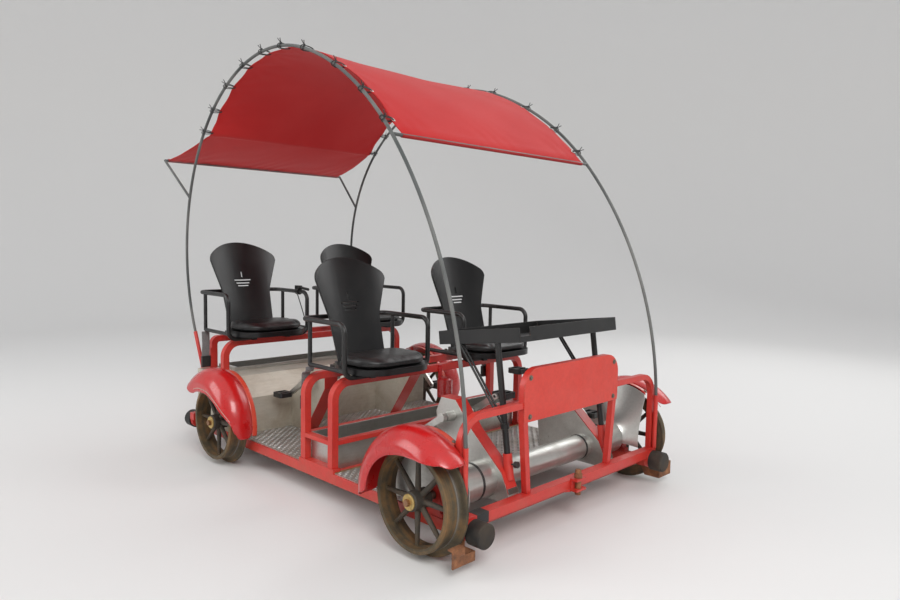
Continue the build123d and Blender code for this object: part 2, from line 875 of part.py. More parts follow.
# Soft pad on the pan, which stops short of the seat's back
def seat_cushion():
    pad = extrude(pan_outline(cushion_inset), cushion_depth)
    pad = pad & block((cushion_setback, pan_length), (-pan_half_width, pan_half_width), (0, cushion_depth))
    pad = fillet(pad.faces().sort_by(Axis.Z)[-1].edges(), cushion_edge_radius)
    return Pos(pan_front_x - pan_length, 0, pan_depth + seat_gap) * pad


def row_pieces(row, piece):
    x, top = rows[row]
    return [Pos(x, side * seat_y, top + seat_rail_height) * piece for side in sides.values()]


# Slide rails between the hoops and the pans
def seat_slides():
    pieces = []
    for row_x, top in rows.values():
        for side in sides.values():
            for end in (-1, 1):
                y = side * seat_y + end * seat_rail_spacing / 2
                width = (y - seat_rail_width / 2, y + seat_rail_width / 2)
                span = (row_x - hoop_half, row_x + seat_rail_front)
                pieces.append(block(span, width, (top, top + seat_rail_height)))
    return pieces


# One armrest hoop: out from the slide, up, back and round behind the seat
def armrest():
    low = -arm_radius - seat_gap
    foot = seat_rail_spacing / 2 + seat_rail_width / 2 + seat_gap
    path = [
        (arm_front_x, foot, low),
        (arm_front_x, arm_offset, low),
        (arm_front_x, arm_offset, arm_height),
        (arm_rear_x, arm_offset, arm_height),
        (arm_rear_x, -arm_offset, arm_height),
        (arm_front_x, -arm_offset, arm_height),
        (arm_front_x, -arm_offset, low),
        (arm_front_x, -foot, low),
    ]
    hoop = bent_bar(path, arm_bend_radius, arm_radius)
    for side in (-1, 1):
        y = side * arm_offset
        corner = (arm_post_x, y, arm_lower_rail_rise)
        hoop += round_bar(corner, (arm_post_x, y, arm_height), arm_rail_radius)
        hoop += round_bar(corner, (arm_front_x, y, arm_lower_rail_rise), arm_rail_radius)
        hoop += Pos(*corner) * Sphere(arm_rail_radius)
    return hoop


# Guard rail of the front: two outer bends beside the hoop that carries the board
def front_guard_rail():
    hoop = standing_hoop(rail_x, outer_rail_y, beam_top, outer_rail_top, outer_rail_radius, rail_tube)
    span = (rail_x - rail_tube, rail_x + rail_tube)
    gap = block(span, (-inner_rail_top_y, inner_rail_top_y), (beam_top, 2 * outer_rail_top))
    return hoop - gap


# Outline round the board and the splayed legs under it, which may run on below the beam
def board_outline(run_on):
    splay = (inner_rail_top_y - inner_rail_foot_y) / (inner_rail_shoulder - beam_top)
    points = [
        (inner_rail_foot_y - splay * run_on, beam_top - run_on),
        (inner_rail_top_y, inner_rail_shoulder),
        (inner_rail_top_y, board_top),
    ]
    points += [(-y, z) for y, z in reversed(points)]
    face = make_face(Polyline(*points, close=True))
    corners = [v for v in face.vertices() if v.Y > board_top - 1]
    return fillet(corners, board_corner_radius)


# Hoop whose legs splay up to the board and follow its edge
def board_hoop():
    outer = board_outline(2 * rail_tube)
    inner = offset(outer, -rail_tube, kind=Kind.INTERSECTION)
    below = Pos(0, beam_top - board_top) * Rectangle(4 * inner_rail_top_y, 2 * board_top)
    across = Plane(origin=(rail_x - rail_tube / 2, 0, 0), x_dir=(0, 1, 0), z_dir=(1, 0, 0))
    return extrude(across * (outer - inner - below), rail_tube)


# Blank board on the front of its hoop
def number_board():
    low = Pos(0, board_bottom / 2) * Rectangle(4 * inner_rail_top_y, board_bottom)
    across = Plane(origin=(rail_x + rail_tube / 2, 0, 0), x_dir=(0, 1, 0), z_dir=(1, 0, 0))
    return extrude(across * (board_outline(0) - low), board_wall)


# The bow in its own plane between two turns, moved outward by a distance, as tangent arcs
def bow(outward, start_turn=0, end_turn=360):
    heading = pole_heading
    side_way = Vector(sin(radians(heading)), -cos(radians(heading)))
    place = Vector(pole_foot_x, pole_foot_z) + side_way * outward
    arcs = []
    done = 0
    for radius, turn in bow_arcs:
        first = max(0, start_turn - done)
        last = min(turn, end_turn - done)
        reach = radius + outward
        centre = place - Vector(sin(radians(heading)), -cos(radians(heading))) * reach
        if last > first:
            begin = radians(heading + first)
            start = centre + Vector(sin(begin), -cos(begin)) * reach
            arcs.append(JernArc(start, (cos(begin), sin(begin)), reach, last - first))
        heading += turn
        done += turn
        place = centre + Vector(sin(radians(heading)), -cos(radians(heading))) * reach
    return arcs


bow_end = bow(0)[-1] @ 1
socket_end = bow_end + (bow(0)[-1] % 1) * rear_socket_length
pole_narrowing = (pole_front_y - pole_rear_y) / (pole_foot_x - socket_end.X)


def pole_y_at(x):
    return pole_front_y - (pole_foot_x - x) * pole_narrowing


# Upright plane of one pole, which closes in towards the rear
def pole_plane(side):
    foot_y = side * (pole_front_y - pole_foot_x * pole_narrowing)
    forward = (1, side * pole_narrowing, 0)
    return Plane(origin=(0, foot_y, 0), x_dir=forward, z_dir=(side * pole_narrowing, -1, 0))


# A round tube along part of the bow
def bow_tube(side, radius, start_turn=0, end_turn=360):
    plane = pole_plane(side)
    path = Wire([plane * arc for arc in bow(0, start_turn, end_turn)])
    return sweep(Plane(origin=path @ 0, z_dir=path % 0) * Circle(radius), path=path)


def canopy_poles():
    return [bow_tube(side, pole_radius) for side in sides.values()]


# Socket tubes: the front ones stand on the beam, the rear ones are fixed to a bracket plate
def pole_sockets():
    pieces = []
    bracket = [
        (rear_back_x, rear_cover_top),
        (rear_back_x, rear_cover_top - bracket_drop),
        (rear_back_x - bracket_back, rear_cover_top - bracket_drop),
        (rear_back_x - bracket_back, rear_cover_top + bracket_shoulder),
        (rear_back_x, rear_cover_top + bracket_height),
        (rear_row_x - hoop_spacing / 2 + hoop_tube / 2, rear_cover_top + bracket_height),
        (rear_row_x - hoop_spacing / 2 + hoop_tube / 2, rear_cover_top),
    ]
    for side in sides.values():
        foot = Plane(origin=(pole_foot_x, side * pole_front_y, beam_top))
        front = extrude(foot * Circle(pole_socket_radius), pole_foot_z - beam_top)
        pieces.append(front - bow_tube(side, pole_radius, 0, strut_cut_turn))
        start = pole_plane(side).from_local_coords((bow_end.X, bow_end.Y, 0))
        end = pole_plane(side).from_local_coords((socket_end.X, socket_end.Y, 0))
        tube = round_bar(tuple(start), tuple(end), pole_socket_radius)
        plate = side_plate(bracket, side * (rear_bar_half + bracket_wall / 2), bracket_wall)
        pieces.append(plate + tube)
    return pieces


# Cloth of the canopy: it follows the bows, then leaves them for the rear hem
def canopy():
    half = canopy_wall / 2
    over = bow(half, canopy_front_turn, canopy_rear_turn)
    under = bow(-half, canopy_front_turn, canopy_rear_turn)
    last = (over[-1] @ 1 + under[-1] @ 1) * 0.5
    tail = Vector(canopy_tail_x, canopy_tail_z)
    way = (tail - last).normalized()
    lift = Vector(way.Y, -way.X) * half
    stop = tail - way * (hem_bar_radius + seat_gap)
    edges = over + under
    edges += [Line(over[-1] @ 1, stop + lift), Line(stop + lift, stop - lift)]
    edges += [Line(stop - lift, under[-1] @ 1), Line(under[0] @ 0, over[0] @ 0)]
    sheet = extrude(Plane.XZ * make_face(edges), gauge / 2, both=True)
    front_x = (over[0] @ 0).X + canopy_wall
    plan = [
        (front_x, pole_y_at(front_x) - canopy_inset),
        (last.X, pole_y_at(last.X) - canopy_inset),
        (canopy_tail_x, tail_half_width),
    ]
    plan += [(x, -y) for x, y in reversed(plan)]
    return sheet & extrude(make_face(Polyline(*plan, close=True)), 2 * canopy_tail_z)


# Hem bars across the front and the rear of the cloth, and the struts to the rear one
def canopy_struts():
    edge = bow(0, 0, canopy_front_turn)[-1]
    front = edge @ 1 - (edge % 1) * (hem_bar_radius + seat_gap)
    half = pole_y_at(front.X) - pole_radius - seat_gap
    front_bar = cross_cylinder(front.X, 0, front.Y, hem_bar_radius, 2 * half)
    foot = bow(0, 0, strut_turn)[-1] @ 1
    start = (foot.X, pole_y_at(foot.X), foot.Y)
    strut = round_bar(start, (canopy_tail_x, strut_tip_y, canopy_tail_z), strut_radius)
    strut -= bow_tube(1, pole_radius, strut_turn - strut_cut_turn, strut_turn + strut_cut_turn)
    strut = strut.solids().sort_by(SortBy.VOLUME)[-1]
    bar = cross_cylinder(canopy_tail_x, 0, canopy_tail_z, hem_bar_radius, 2 * strut_tip_y)
    rear = Part() + [bar] + both(strut)
    span = (rear_end, rear_end + gauge)
    return [front_bar, rear & block(span, (-gauge, gauge), (0, 2 * canopy_tail_z))]


tilt = radians(tray_tilt)
tray_plane = Plane(
    origin=(tray_front_x, 0, tray_front_z), x_dir=(cos(tilt), 0, sin(tilt)), z_dir=(-sin(tilt), 0, cos(tilt))
)


# Shallow sheet tray, tilted, with its front wall cut down at the right corner
def tray():
    wall = tray_wall
    inner_y = tray_half_width - wall
    pan = block((-tray_length, 0), (-tray_half_width, tray_half_width), (0, tray_wall_height))
    pan -= block((-tray_length + wall, -wall), (-inner_y, inner_y), (wall, 2 * tray_wall_height))
    low = tray_wall_height - tray_notch_height
    notch_y = (-inner_y, -inner_y + tray_notch_width)
    pan -= block((-2 * wall, wall), notch_y, (low, 2 * tray_wall_height))
    return tray_plane.location * pan


def above_tray_floor():
    return tray_plane.location * block((-2 * tray_length, tray_length), (-gauge, gauge), (0, gauge))


# The posts lean back as they rise
post_way = Vector(-sin(radians(post_lean)), 0, cos(radians(post_lean)))
post_foot = Vector(post_foot_x, post_y, post_foot_z)


def post_at(height):
    return post_foot + post_way * ((height - post_foot_z) / post_way.Z)


# Round posts under the tray, each with a collar and a pair of braces
def tray_posts():
    top = post_at(tray_front_z + tray_wall_height)
    collar_middle = post_at(brace_collar_z)
    pieces = round_bar(tuple(post_foot), tuple(top), post_radius)
    pieces += Plane(origin=collar_middle, z_dir=post_way) * Cylinder(collar_radius, collar_height)
    for end in (-1, 1):
        y = post_y + end * brace_spacing / 2
        start = (collar_middle.X, y, collar_middle.Z)
        pieces += round_bar(start, (brace_top_x, y, tray_front_z), brace_radius)
    return both(pieces - above_tray_floor())


def cup_blank():
    bottom = post_at(post_foot_z - cup_height)
    return round_bar(tuple(bottom), tuple(post_foot), cup_radius)


# Red cups that hold the posts, fitted over the slope of the front cases
def post_cups():
    case = side_plate(front_unit, unit_y, unit_width)
    strip = side_fold(front_strip_run, unit_y, unit_width, strip_wall)
    cup = (cup_blank() - case - strip).solids().sort_by(SortBy.VOLUME)[-1]
    return both(cup)


# Clamp knobs on the front of the cups
def cup_knobs():
    middle = post_at(post_foot_z - cup_height + knob_rise)
    out = Vector(cos(radians(post_lean)), 0, sin(radians(post_lean)))
    face = middle + out * (cup_radius - 1)
    stem = extrude(Plane(origin=face, z_dir=out) * Circle(knob_stem_radius), knob_stem_length)
    grip_place = Plane(origin=face + out * knob_stem_length, z_dir=out)
    grip = extrude(grip_place * Circle(knob_radius), knob_length)
    return both((stem + grip) - cup_blank())


# Red canister with a strap that hangs it from the front hoop of the front row
def canister():
    x = hoop_half + canister_radius
    can = Pos(x, 0, canister_bottom) * Cylinder(canister_radius, canister_height, align=on_base)
    can = chamfer(can.faces().sort_by(Axis.Z)[-1].edges(), canister_chamfer)
    strap_x = (hoop_half, hoop_half + canister_band / 2)
    can += block(strap_x, (-canister_band, canister_band), (canister_bottom, front_row_top))
    return can


lever_x = rear_row_x + arm_front_x - lever_setback
lever_y = seat_y - arm_offset
arm_top_z = rear_row_top + seat_rail_height + arm_height


# Brake lever: a clamp on the inner armrest of the right rear seat, a housing and a grip
def brake_lever():
    clamp = Rot(0, 90, 0) * Cylinder(arm_radius + clamp_wall, clamp_length)
    clamp -= Rot(0, 90, 0) * Cylinder(arm_radius + seat_gap, 2 * clamp_length)
    low = arm_radius + clamp_wall / 2
    half_x, half_y = housing_length / 2, housing_width / 2
    housing = block((-half_x, half_x), (-half_y, half_y), (low, low + housing_height))
    middle = low + housing_height / 2
    grip = round_bar((0, 0, middle), (grip_length, 0, middle - grip_radius), grip_radius)
    return Pos(lever_x, -lever_y, arm_top_z) * (clamp + housing + grip)


# Brake cable from the lever's housing down past the seat to the rear cover
def brake_cable():
    housing_middle = arm_top_z + arm_radius + clamp_wall / 2 + housing_height / 2
    start = Vector(lever_x - housing_length / 2, -lever_y, housing_middle)
    points = [start + Vector(*step) for step in cable_route]
    points.append(Vector(points[-1].X, points[-1].Y, rear_cover_top))
    radii = []
    for before, at, after in zip(points, points[1:], points[2:]):
        turn = (at - before).get_angle(after - at)
        shorter = min((at - before).length, (after - at).length)
        radii.append(cable_bend_share * shorter / tan(radians(turn / 2)))
    print("brake cable radii", [round(radius) for radius in radii])
    path = FilletPolyline(*points, radius=radii)
    cable = bent_bar(points, radii, cable_radius)
    section = Circle(cable_radius).area
    print("brake cable volume over section by length", round(cable.volume / section / path.length, 4))
    return cable


# Where each belt hangs: the foot of an armrest's post, and the x of its hanging run
def belt_place(row):
    row_x, top = rows[row]
    x = row_x + arm_post_x
    high = top + seat_rail_height + arm_lower_rail_rise - arm_rail_radius - seat_gap
    hang = x if row == "rear" else row_x - hoop_half - belt_clearance
    return x, high, hang, high - belt_length


# Lap belt webbing that hangs from the rear foot of each outer armrest
def belt_straps():
    pieces = []
    y = (seat_y + arm_offset - belt_width / 2, seat_y + arm_offset + belt_width / 2)
    for row, (row_x, top) in rows.items():
        x, high, hang, low = belt_place(row)
        ledge = top + belt_lift
        strap = block((hang - belt_wall, hang), y, (low, high if hang == x else ledge + belt_wall))
        if hang != x:
            strap += block((hang - belt_wall, x), y, (ledge, ledge + belt_wall))
            strap += block((x - belt_wall, x), y, (ledge, high))
        pieces += both(strap)
    return pieces


def belt_buckles():
    pieces = []
    middle = seat_y + arm_offset
    y = (middle - buckle_width / 2, middle + buckle_width / 2)
    for row in rows:
        _, _, hang, low = belt_place(row)
        x = hang - belt_wall / 2
        pieces += both(block((x - buckle_wall / 2, x + buckle_wall / 2), y, (low - buckle_length, low)))
    return pieces


os.makedirs("parts", exist_ok=True)

write("chassis_frame", chassis_frame())
write("bumper_pads", bumper_pads())
write("front_hitch", front_hitch())
write("hitch_pin", hitch_pin())
write("rear_tow_eye", rear_eye())
write("rail_sweepers", rail_sweepers())
write("floor_panels", floor_panels())
write("axle_boxes", axle_boxes())
for row, x in (("front", front_axle_x), ("rear", rear_axle_x)):
    write(f"{row}_wheels", [wheel(x, side) for side in sides.values()])
    write(f"{row}_axle", axle(x))
write("front_axle_cover", front_axle_cover())
write("rear_axle_cover", rear_axle_cover())
write("front_mudguards", mudguards(front_axle_x, 1, front_tab_angles))
write("rear_mudguards", mudguards(rear_axle_x, -1, rear_tab_angles))
write("front_pedal_cases", front_cases())
write("rear_pedal_cases", rear_cases())
write("case_strips", case_strips())
units = [  # row, crank x, unit y, crank z, arm offset
    ("front", crank_x, unit_y, crank_z, front_arm_offset),
    ("rear", rear_crank_x, rear_unit_y, rear_crank_z, rear_arm_offset),
]
for row, x, y, z, arm in units:
    for side_name, side in sides.items():
        turn = crank_turns[side_name]
        write(f"{row}_{side_name}_crank", crank_set(x, side * y, z, arm, turn))
        for place, end in (("outer", side), ("inner", -side)):
            reach = end * crank_length
            at = Pos(x + reach * cos(radians(turn)), side * y + end * arm, z + reach * sin(radians(turn)))
            write(f"{row}_{side_name}_{place}_pedal", at * pedal(end))
write("front_seat_frame", front_seat_frame())
write("rear_seat_frame", rear_seat_frame())
write("front_bin", front_bin())
write("rear_bin", rear_bin())
write("seat_slides", seat_slides())
for row in rows:
    write(f"{row}_seat_shells", row_pieces(row, seat_shell()))
    write(f"{row}_seat_cushions", row_pieces(row, seat_cushion()))
    write(f"{row}_armrests", row_pieces(row, armrest()))
write("front_guard_rail", front_guard_rail())
write("board_hoop", board_hoop())
write("number_board", number_board())
write("canopy_poles", canopy_poles())
write("pole_sockets", pole_sockets())
write("canopy", canopy())
write("canopy_struts", canopy_struts())
write("tray", tray())
write("tray_posts", tray_posts())
write("post_cups", post_cups())
write("cup_knobs", cup_knobs())
write("canister", canister())
write("brake_lever", brake_lever())
write("brake_cable", brake_cable())
write("belt_straps", belt_straps())
write("belt_buckles", belt_buckles())
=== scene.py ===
import bpy
import bmesh
import numpy as np
from math import radians
from mathutils import Matrix, Vector


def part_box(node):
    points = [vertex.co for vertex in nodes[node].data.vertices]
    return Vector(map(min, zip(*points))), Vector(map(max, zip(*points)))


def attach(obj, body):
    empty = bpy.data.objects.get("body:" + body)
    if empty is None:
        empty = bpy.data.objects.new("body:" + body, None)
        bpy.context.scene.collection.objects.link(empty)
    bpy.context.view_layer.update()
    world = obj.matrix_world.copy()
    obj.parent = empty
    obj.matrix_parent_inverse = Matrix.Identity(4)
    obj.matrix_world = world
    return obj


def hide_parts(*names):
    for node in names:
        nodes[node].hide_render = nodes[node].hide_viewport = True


# Looks of a four-seat pedal railcar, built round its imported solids. Metres, +X forward, +Z up.
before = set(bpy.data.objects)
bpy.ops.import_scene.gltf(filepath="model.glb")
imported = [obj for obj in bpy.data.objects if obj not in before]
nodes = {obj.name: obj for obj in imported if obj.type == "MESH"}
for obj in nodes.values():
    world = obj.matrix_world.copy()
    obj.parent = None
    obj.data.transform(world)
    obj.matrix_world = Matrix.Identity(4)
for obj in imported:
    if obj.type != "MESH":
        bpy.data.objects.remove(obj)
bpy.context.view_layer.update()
scene = bpy.context.scene
middleX = 0.288  # from the middle of the wheelbase to the middle of the overall box
axles = {"front": 1.055, "rear": -0.479}
axleZ = 0.223
sides = (-1, 1)
bothRows = ("front", "rear")


# ---- shading: put adds a node, and a socket given as a value is linked ----
class Shading:
    def __init__(self, owner, **sockets):
        owner.use_nodes = True
        self.owner, self.tree = owner, owner.node_tree
        for key, value in sockets.items():
            self.tree.nodes["Principled BSDF"].inputs[key.replace("_", " ")].default_value = value

    def put(self, kind, inputs=None, **settings):
        item = self.tree.nodes.new(kind)
        for key, value in settings.items():
            setattr(item, key, value)
        for key, value in (inputs or {}).items():
            if isinstance(value, bpy.types.NodeSocket):
                self.tree.links.new(value, item.inputs[key])
            else:
                item.inputs[key].default_value = value
        return item

    def objectPlace(self, stretch=(1, 1, 1), shift=(0, 0, 0)):
        coords = self.put("ShaderNodeTexCoord").outputs["Object"]
        return self.put("ShaderNodeMapping", {"Vector": coords, "Scale": stretch, "Location": shift}).outputs[0]

    def noise(self, place, scale, detail=4, rough=0.55, warp=0.0):
        inputs = {"Vector": place, "Scale": scale, "Detail": detail, "Roughness": rough, "Distortion": warp}
        return self.put("ShaderNodeTexNoise", inputs).outputs[0]

    def ramp(self, value, stops):
        item = self.put("ShaderNodeValToRGB", {"Fac": value})
        for index, (place, colour) in enumerate(stops):
            colour = (colour,) * 3 if isinstance(colour, (int, float)) else colour
            stop = item.color_ramp.elements[index] if index < 2 else item.color_ramp.elements.new(place)
            stop.position = place
            stop.color = (*colour, 1)
        return item.outputs[0]

    # Share of a cloudy pattern: 0 below the low level of the noise, top above the high one
    def clouded(self, place, pattern, low, high, top=1.0):
        return self.ramp(self.noise(place, *pattern), [(low, 0.0), (high, top)])

    def maths(self, operation, a, b, clamp=False):
        return self.put("ShaderNodeMath", {0: a, 1: b}, operation=operation, use_clamp=clamp).outputs[0]

    def times(self, a, b, clamp=False):
        return self.maths("MULTIPLY", a, b, clamp)

    def plus(self, a, b):
        return self.maths("ADD", a, b)

    def absolute(self, value):
        return self.put("ShaderNodeMath", {0: value}, operation="ABSOLUTE").outputs[0]

    def axisOf(self, vector, index):
        return self.put("ShaderNodeSeparateXYZ", {0: vector}).outputs[index]

    def blendColour(self, share, a, b, kind="MIX"):
        a = a if isinstance(a, bpy.types.NodeSocket) else (*a, 1)
        b = b if isinstance(b, bpy.types.NodeSocket) else (*b, 1)
        inputs = {0: share, 6: a, 7: b}
        return self.put("ShaderNodeMix", inputs, data_type="RGBA", blend_type=kind).outputs[2]

    # Share of an edge: how far a bevelled normal turns from the true one
    def edgeShare(self, radius):
        soft = self.put("ShaderNodeBevel", {"Radius": radius}, samples=4)
        plain = self.put("ShaderNodeNewGeometry")
        inputs = {0: soft.outputs[0], 1: plain.outputs["True Normal"]}
        dot = self.put("ShaderNodeVectorMath", inputs, operation="DOT_PRODUCT").outputs["Value"]
        return self.maths("SUBTRACT", 1.0, dot, clamp=True), soft.outputs[0]

    def link(self, socket, key):
        self.tree.links.new(socket, self.tree.nodes["Principled BSDF"].inputs[key])

    def bump(self, height, strength, distance, normal=None):
        inputs = {"Height": height, "Strength": strength, "Distance": distance}
        if normal is not None:
            inputs["Normal"] = normal
        self.link(self.put("ShaderNodeBump", inputs).outputs[0], "Normal")

    # Height above the rails as a share between two heights
    def heightShare(self, low, high):
        height = self.axisOf(self.objectPlace(), 2)
        inputs = {"Value": height, "From Min": low, "From Max": high, "To Min": 1.0, "To Max": 0.0}
        return self.put("ShaderNodeMapRange", inputs).outputs[0]


def newShading(name, **sockets):
    return Shading(bpy.data.materials.new(name), **sockets)


# Painted steel: fading in large clouds, chips that gather along edges, dust that gathers low down
def paintedSteel(name, paint, faded, look):
    m = newShading(name, Coat_Weight=look["coat"], Coat_Roughness=0.12)
    place = m.objectPlace()
    base = m.blendColour(m.clouded(place, (3.1, 3), 0.38, 0.68), paint, faded)
    fine = m.ramp(m.noise(place, 55, 6, 0.7), [(0.3, 0.8), (0.7, 1.06)])
    base = m.blendColour(0.55, base, fine, "MULTIPLY")
    edge, softNormal = m.edgeShare(look["bevel"])
    edgeMarks = m.times(edge, look["edgeWear"])
    spots = m.plus(m.noise(place, 19, 8, 0.68), edgeMarks)
    chips = m.ramp(spots, [(look["chipLevel"], 0.0), (look["chipLevel"] + 0.02, 1.0)])
    under = m.ramp(m.noise(place, 33, 5), [(0.42, look["under"]), (0.6, (0.2, 0.075, 0.035))])
    base = m.blendColour(chips, base, under)
    dust = m.times(m.heightShare(0.05, look["dustTop"]), m.noise(place, 9, 6, 0.7))
    dust = m.ramp(dust, [(0.3, 0.0), (0.75, look["dust"])])
    base = m.blendColour(dust, base, (0.23, 0.15, 0.085))
    m.link(base, "Base Color")
    rough = m.plus(m.times(m.noise(place, 14, 5), 0.3), look["rough"] - 0.15)
    rough = m.maths("MAXIMUM", rough, m.times(chips, 0.75))
    m.link(rough, "Roughness")
    relief = m.maths("SUBTRACT", m.times(m.noise(place, 260, 2), 0.12), chips)
    m.bump(relief, 0.35, 0.0006, softNormal)
    return m.owner


framePaint = {"coat": 0.15, "bevel": 0.0035, "edgeWear": 0.55, "chipLevel": 0.72, "under": (0.09, 0.07, 0.06),
              "dustTop": 0.34, "dust": 0.55, "rough": 0.42}
guardPaint = {**framePaint, "coat": 0.55, "edgeWear": 0.45, "chipLevel": 0.76, "dust": 0.25, "rough": 0.3,
              "under": (0.7, 0.66, 0.62), "bevel": 0.002}
boardPaint = {**framePaint, "coat": 0.05, "edgeWear": 0.6, "chipLevel": 0.735, "rough": 0.5,
              "under": (0.45, 0.4, 0.36)}
blackPaint = {**framePaint, "coat": 0.1, "edgeWear": 0.5, "chipLevel": 0.75, "under": (0.25, 0.24, 0.22), "rough": 0.4}
polePaint = {**framePaint, "coat": 0.0, "edgeWear": 0.1, "chipLevel": 0.7, "under": (0.1, 0.09, 0.08), "rough": 0.52}


# Brushed sheet: fine streaks across the car, finger marks and low grime, dents in the bump
def brushedSheet(name, tint, grime, look):
    m = newShading(name, Metallic=look["metal"])
    place = m.objectPlace()
    streaks = m.noise(m.objectPlace(look["brush"]), 16, 6, 0.75)
    base = m.blendColour(m.ramp(streaks, [(0.3, 0.0), (0.75, 0.45)]), tint, tuple(0.62 * c for c in tint))
    smears = m.clouded(place, (5.2, 6, 0.66, 0.8), 0.44, 0.72, look["smear"])
    base = m.blendColour(smears, base, grime)
    edge, softNormal = m.edgeShare(0.004)
    base = m.blendColour(m.times(edge, 0.8, True), base, (0.8, 0.79, 0.76))
    low = m.times(m.heightShare(0.13, 0.32), m.noise(place, 24, 5, 0.7))
    base = m.blendColour(m.ramp(low, [(0.3, 0.0), (0.8, 0.7)]), base, (0.25, 0.19, 0.12))
    specks = m.clouded(place, (90, 3, 0.6), 0.7, 0.74, 0.6)
    m.link(m.blendColour(specks, base, (0.17, 0.12, 0.08)), "Base Color")
    rough = m.plus(m.times(smears, 0.3), m.times(streaks, 0.28))
    m.link(m.plus(rough, look["rough"] - 0.14), "Roughness")
    waves = m.plus(m.times(m.noise(place, 4.5, 2), 6.0), streaks)
    m.bump(waves, 0.22, 0.0007, softNormal)
    return m.owner


# Cast wheel: rust in rings round the axle, a polished line where the tread meets the flange
def wheelIron(name, axleX):
    m = newShading(name, Metallic=0.35)
    place = m.objectPlace(shift=(-axleX, 0, -axleZ))
    parts = m.put("ShaderNodeSeparateXYZ", {0: place})
    flat = m.put("ShaderNodeCombineXYZ", {0: parts.outputs[0], 2: parts.outputs[2]}).outputs[0]
    radius = m.put("ShaderNodeVectorMath", {0: flat}, operation="LENGTH").outputs["Value"]
    across = m.absolute(parts.outputs[1])
    ringPlace = m.put("ShaderNodeCombineXYZ", {0: radius, 1: across}).outputs[0]
    rings = m.noise(ringPlace, 60, 4, 0.7)
    patches = m.noise(place, 11, 7, 0.68)
    mixed = m.plus(m.times(rings, 0.45), m.times(patches, 0.55))
    base = m.ramp(mixed, [(0.34, (0.04, 0.034, 0.026)), (0.48, (0.105, 0.082, 0.05)),
                          (0.58, (0.21, 0.125, 0.055)), (0.7, (0.33, 0.15, 0.055))])
    inner = m.ramp(radius, [(0.155, 1.0), (0.172, 0.0)])
    base = m.blendColour(m.times(inner, 0.75), base, (0.062, 0.056, 0.05))
    fromRail = m.absolute(m.maths("SUBTRACT", across, 0.7165))
    polished = m.maths("SUBTRACT", 1.0, m.times(fromRail, 130), True)
    shine = m.times(polished, m.ramp(radius, [(0.186, 0.0), (0.19, 1.0)]))
    base = m.blendColour(m.times(shine, 0.8), base, (0.34, 0.33, 0.31))
    m.link(base, "Base Color")
    m.link(m.maths("SUBTRACT", 0.66, m.times(shine, 0.34)), "Roughness")
    _, softNormal = m.edgeShare(0.004)
    m.bump(m.plus(patches, m.noise(place, 120, 3)), 0.45, 0.0012, softNormal)
    return m.owner


# Axle: dull steel between the wheels, a brass disc at each end and a rusty nut on it
def axleSteel():
    m = newShading("axleSteel", Metallic=0.8, Roughness=0.45)
    place = m.objectPlace()
    across = m.absolute(m.axisOf(place, 1))
    zone = m.put("ShaderNodeMapRange", {"Value": across, "From Min": 0.77, "From Max": 0.8}).outputs[0]
    base = m.ramp(zone, [(0.0, (0.2, 0.18, 0.15)), (0.24, (0.2, 0.18, 0.15)), (0.26, (0.62, 0.45, 0.17)),
                         (0.455, (0.58, 0.42, 0.16)), (0.47, (0.3, 0.15, 0.08)), (1.0, (0.34, 0.19, 0.11))])
    rust = m.clouded(place, (130, 6, 0.7), 0.45, 0.7, 0.6)
    m.link(m.blendColour(rust, base, (0.16, 0.1, 0.05)), "Base Color")
    m.bump(m.noise(place, 220, 4), 0.3, 0.0006)
    return m.owner


# Rusty plate: orange scale over brown, with a few pale scratches
def rustyPlate():
    m = newShading("rustyPlate", Roughness=0.82)
    place = m.objectPlace()
    scale = m.noise(place, 17, 8, 0.68, 0.4)
    base = m.ramp(scale, [(0.33, (0.095, 0.045, 0.028)), (0.52, (0.26, 0.105, 0.045)), (0.68, (0.42, 0.19, 0.085))])
    scratch = m.clouded(m.objectPlace((1, 0.15, 4)), (45, 5, 0.7), 0.66, 0.72, 0.7)
    m.link(m.blendColour(scratch, base, (0.44, 0.33, 0.25)), "Base Color")
    _, softNormal = m.edgeShare(0.003)
    m.bump(m.noise(place, 85, 7, 0.7), 0.7, 0.0016, softNormal)
    return m.owner


# Aluminium tread plate: bright where feet polish it, brown dust in the low places
def treadPlate():
    m = newShading("treadPlate", Metallic=0.75)
    place = m.objectPlace()
    dust = m.clouded(place, (5.5, 7, 0.65), 0.4, 0.7, 0.85)
    inputs = {"Value": m.axisOf(place, 2), "From Min": 0.1472, "From Max": 0.1488, "To Min": 1.0, "To Max": 0.15}
    low = m.put("ShaderNodeMapRange", inputs).outputs[0]
    fine = m.ramp(m.noise(place, 160, 4, 0.7), [(0.3, 0.75), (0.7, 1.05)])
    base = m.blendColour(m.times(dust, low), (0.62, 0.61, 0.59), (0.24, 0.18, 0.12))
    m.link(m.blendColour(0.7, base, fine, "MULTIPLY"), "Base Color")
    m.link(m.plus(m.times(dust, 0.4), 0.34), "Roughness")
    m.bump(m.noise(place, 90, 5), 0.25, 0.0008)
    return m.owner


# Black rubber or plastic: faint grey dust, dull scuffs, moulded grain
def blackMoulding(name, tint, dusty, look):
    m = newShading(name, Specular_IOR_Level=look["gloss"])
    place = m.objectPlace()
    dust = m.clouded(place, (6, 7, 0.66, 0.5), 0.42, 0.75, look["dust"])
    base = m.blendColour(dust, tint, dusty)
    edge, softNormal = m.edgeShare(look["bevel"])
    marks = m.plus(m.noise(place, 48, 6, 0.7), m.times(edge, 0.4))
    scuffs = m.ramp(marks, [(0.7, 0.0), (0.78, look["scuff"])])
    m.link(m.blendColour(scuffs, base, dusty), "Base Color")
    m.link(m.plus(m.times(dust, 0.35), look["rough"]), "Roughness")
    m.bump(m.noise(place, look["grain"], 3), look["relief"], 0.0006, softNormal)
    return m.owner


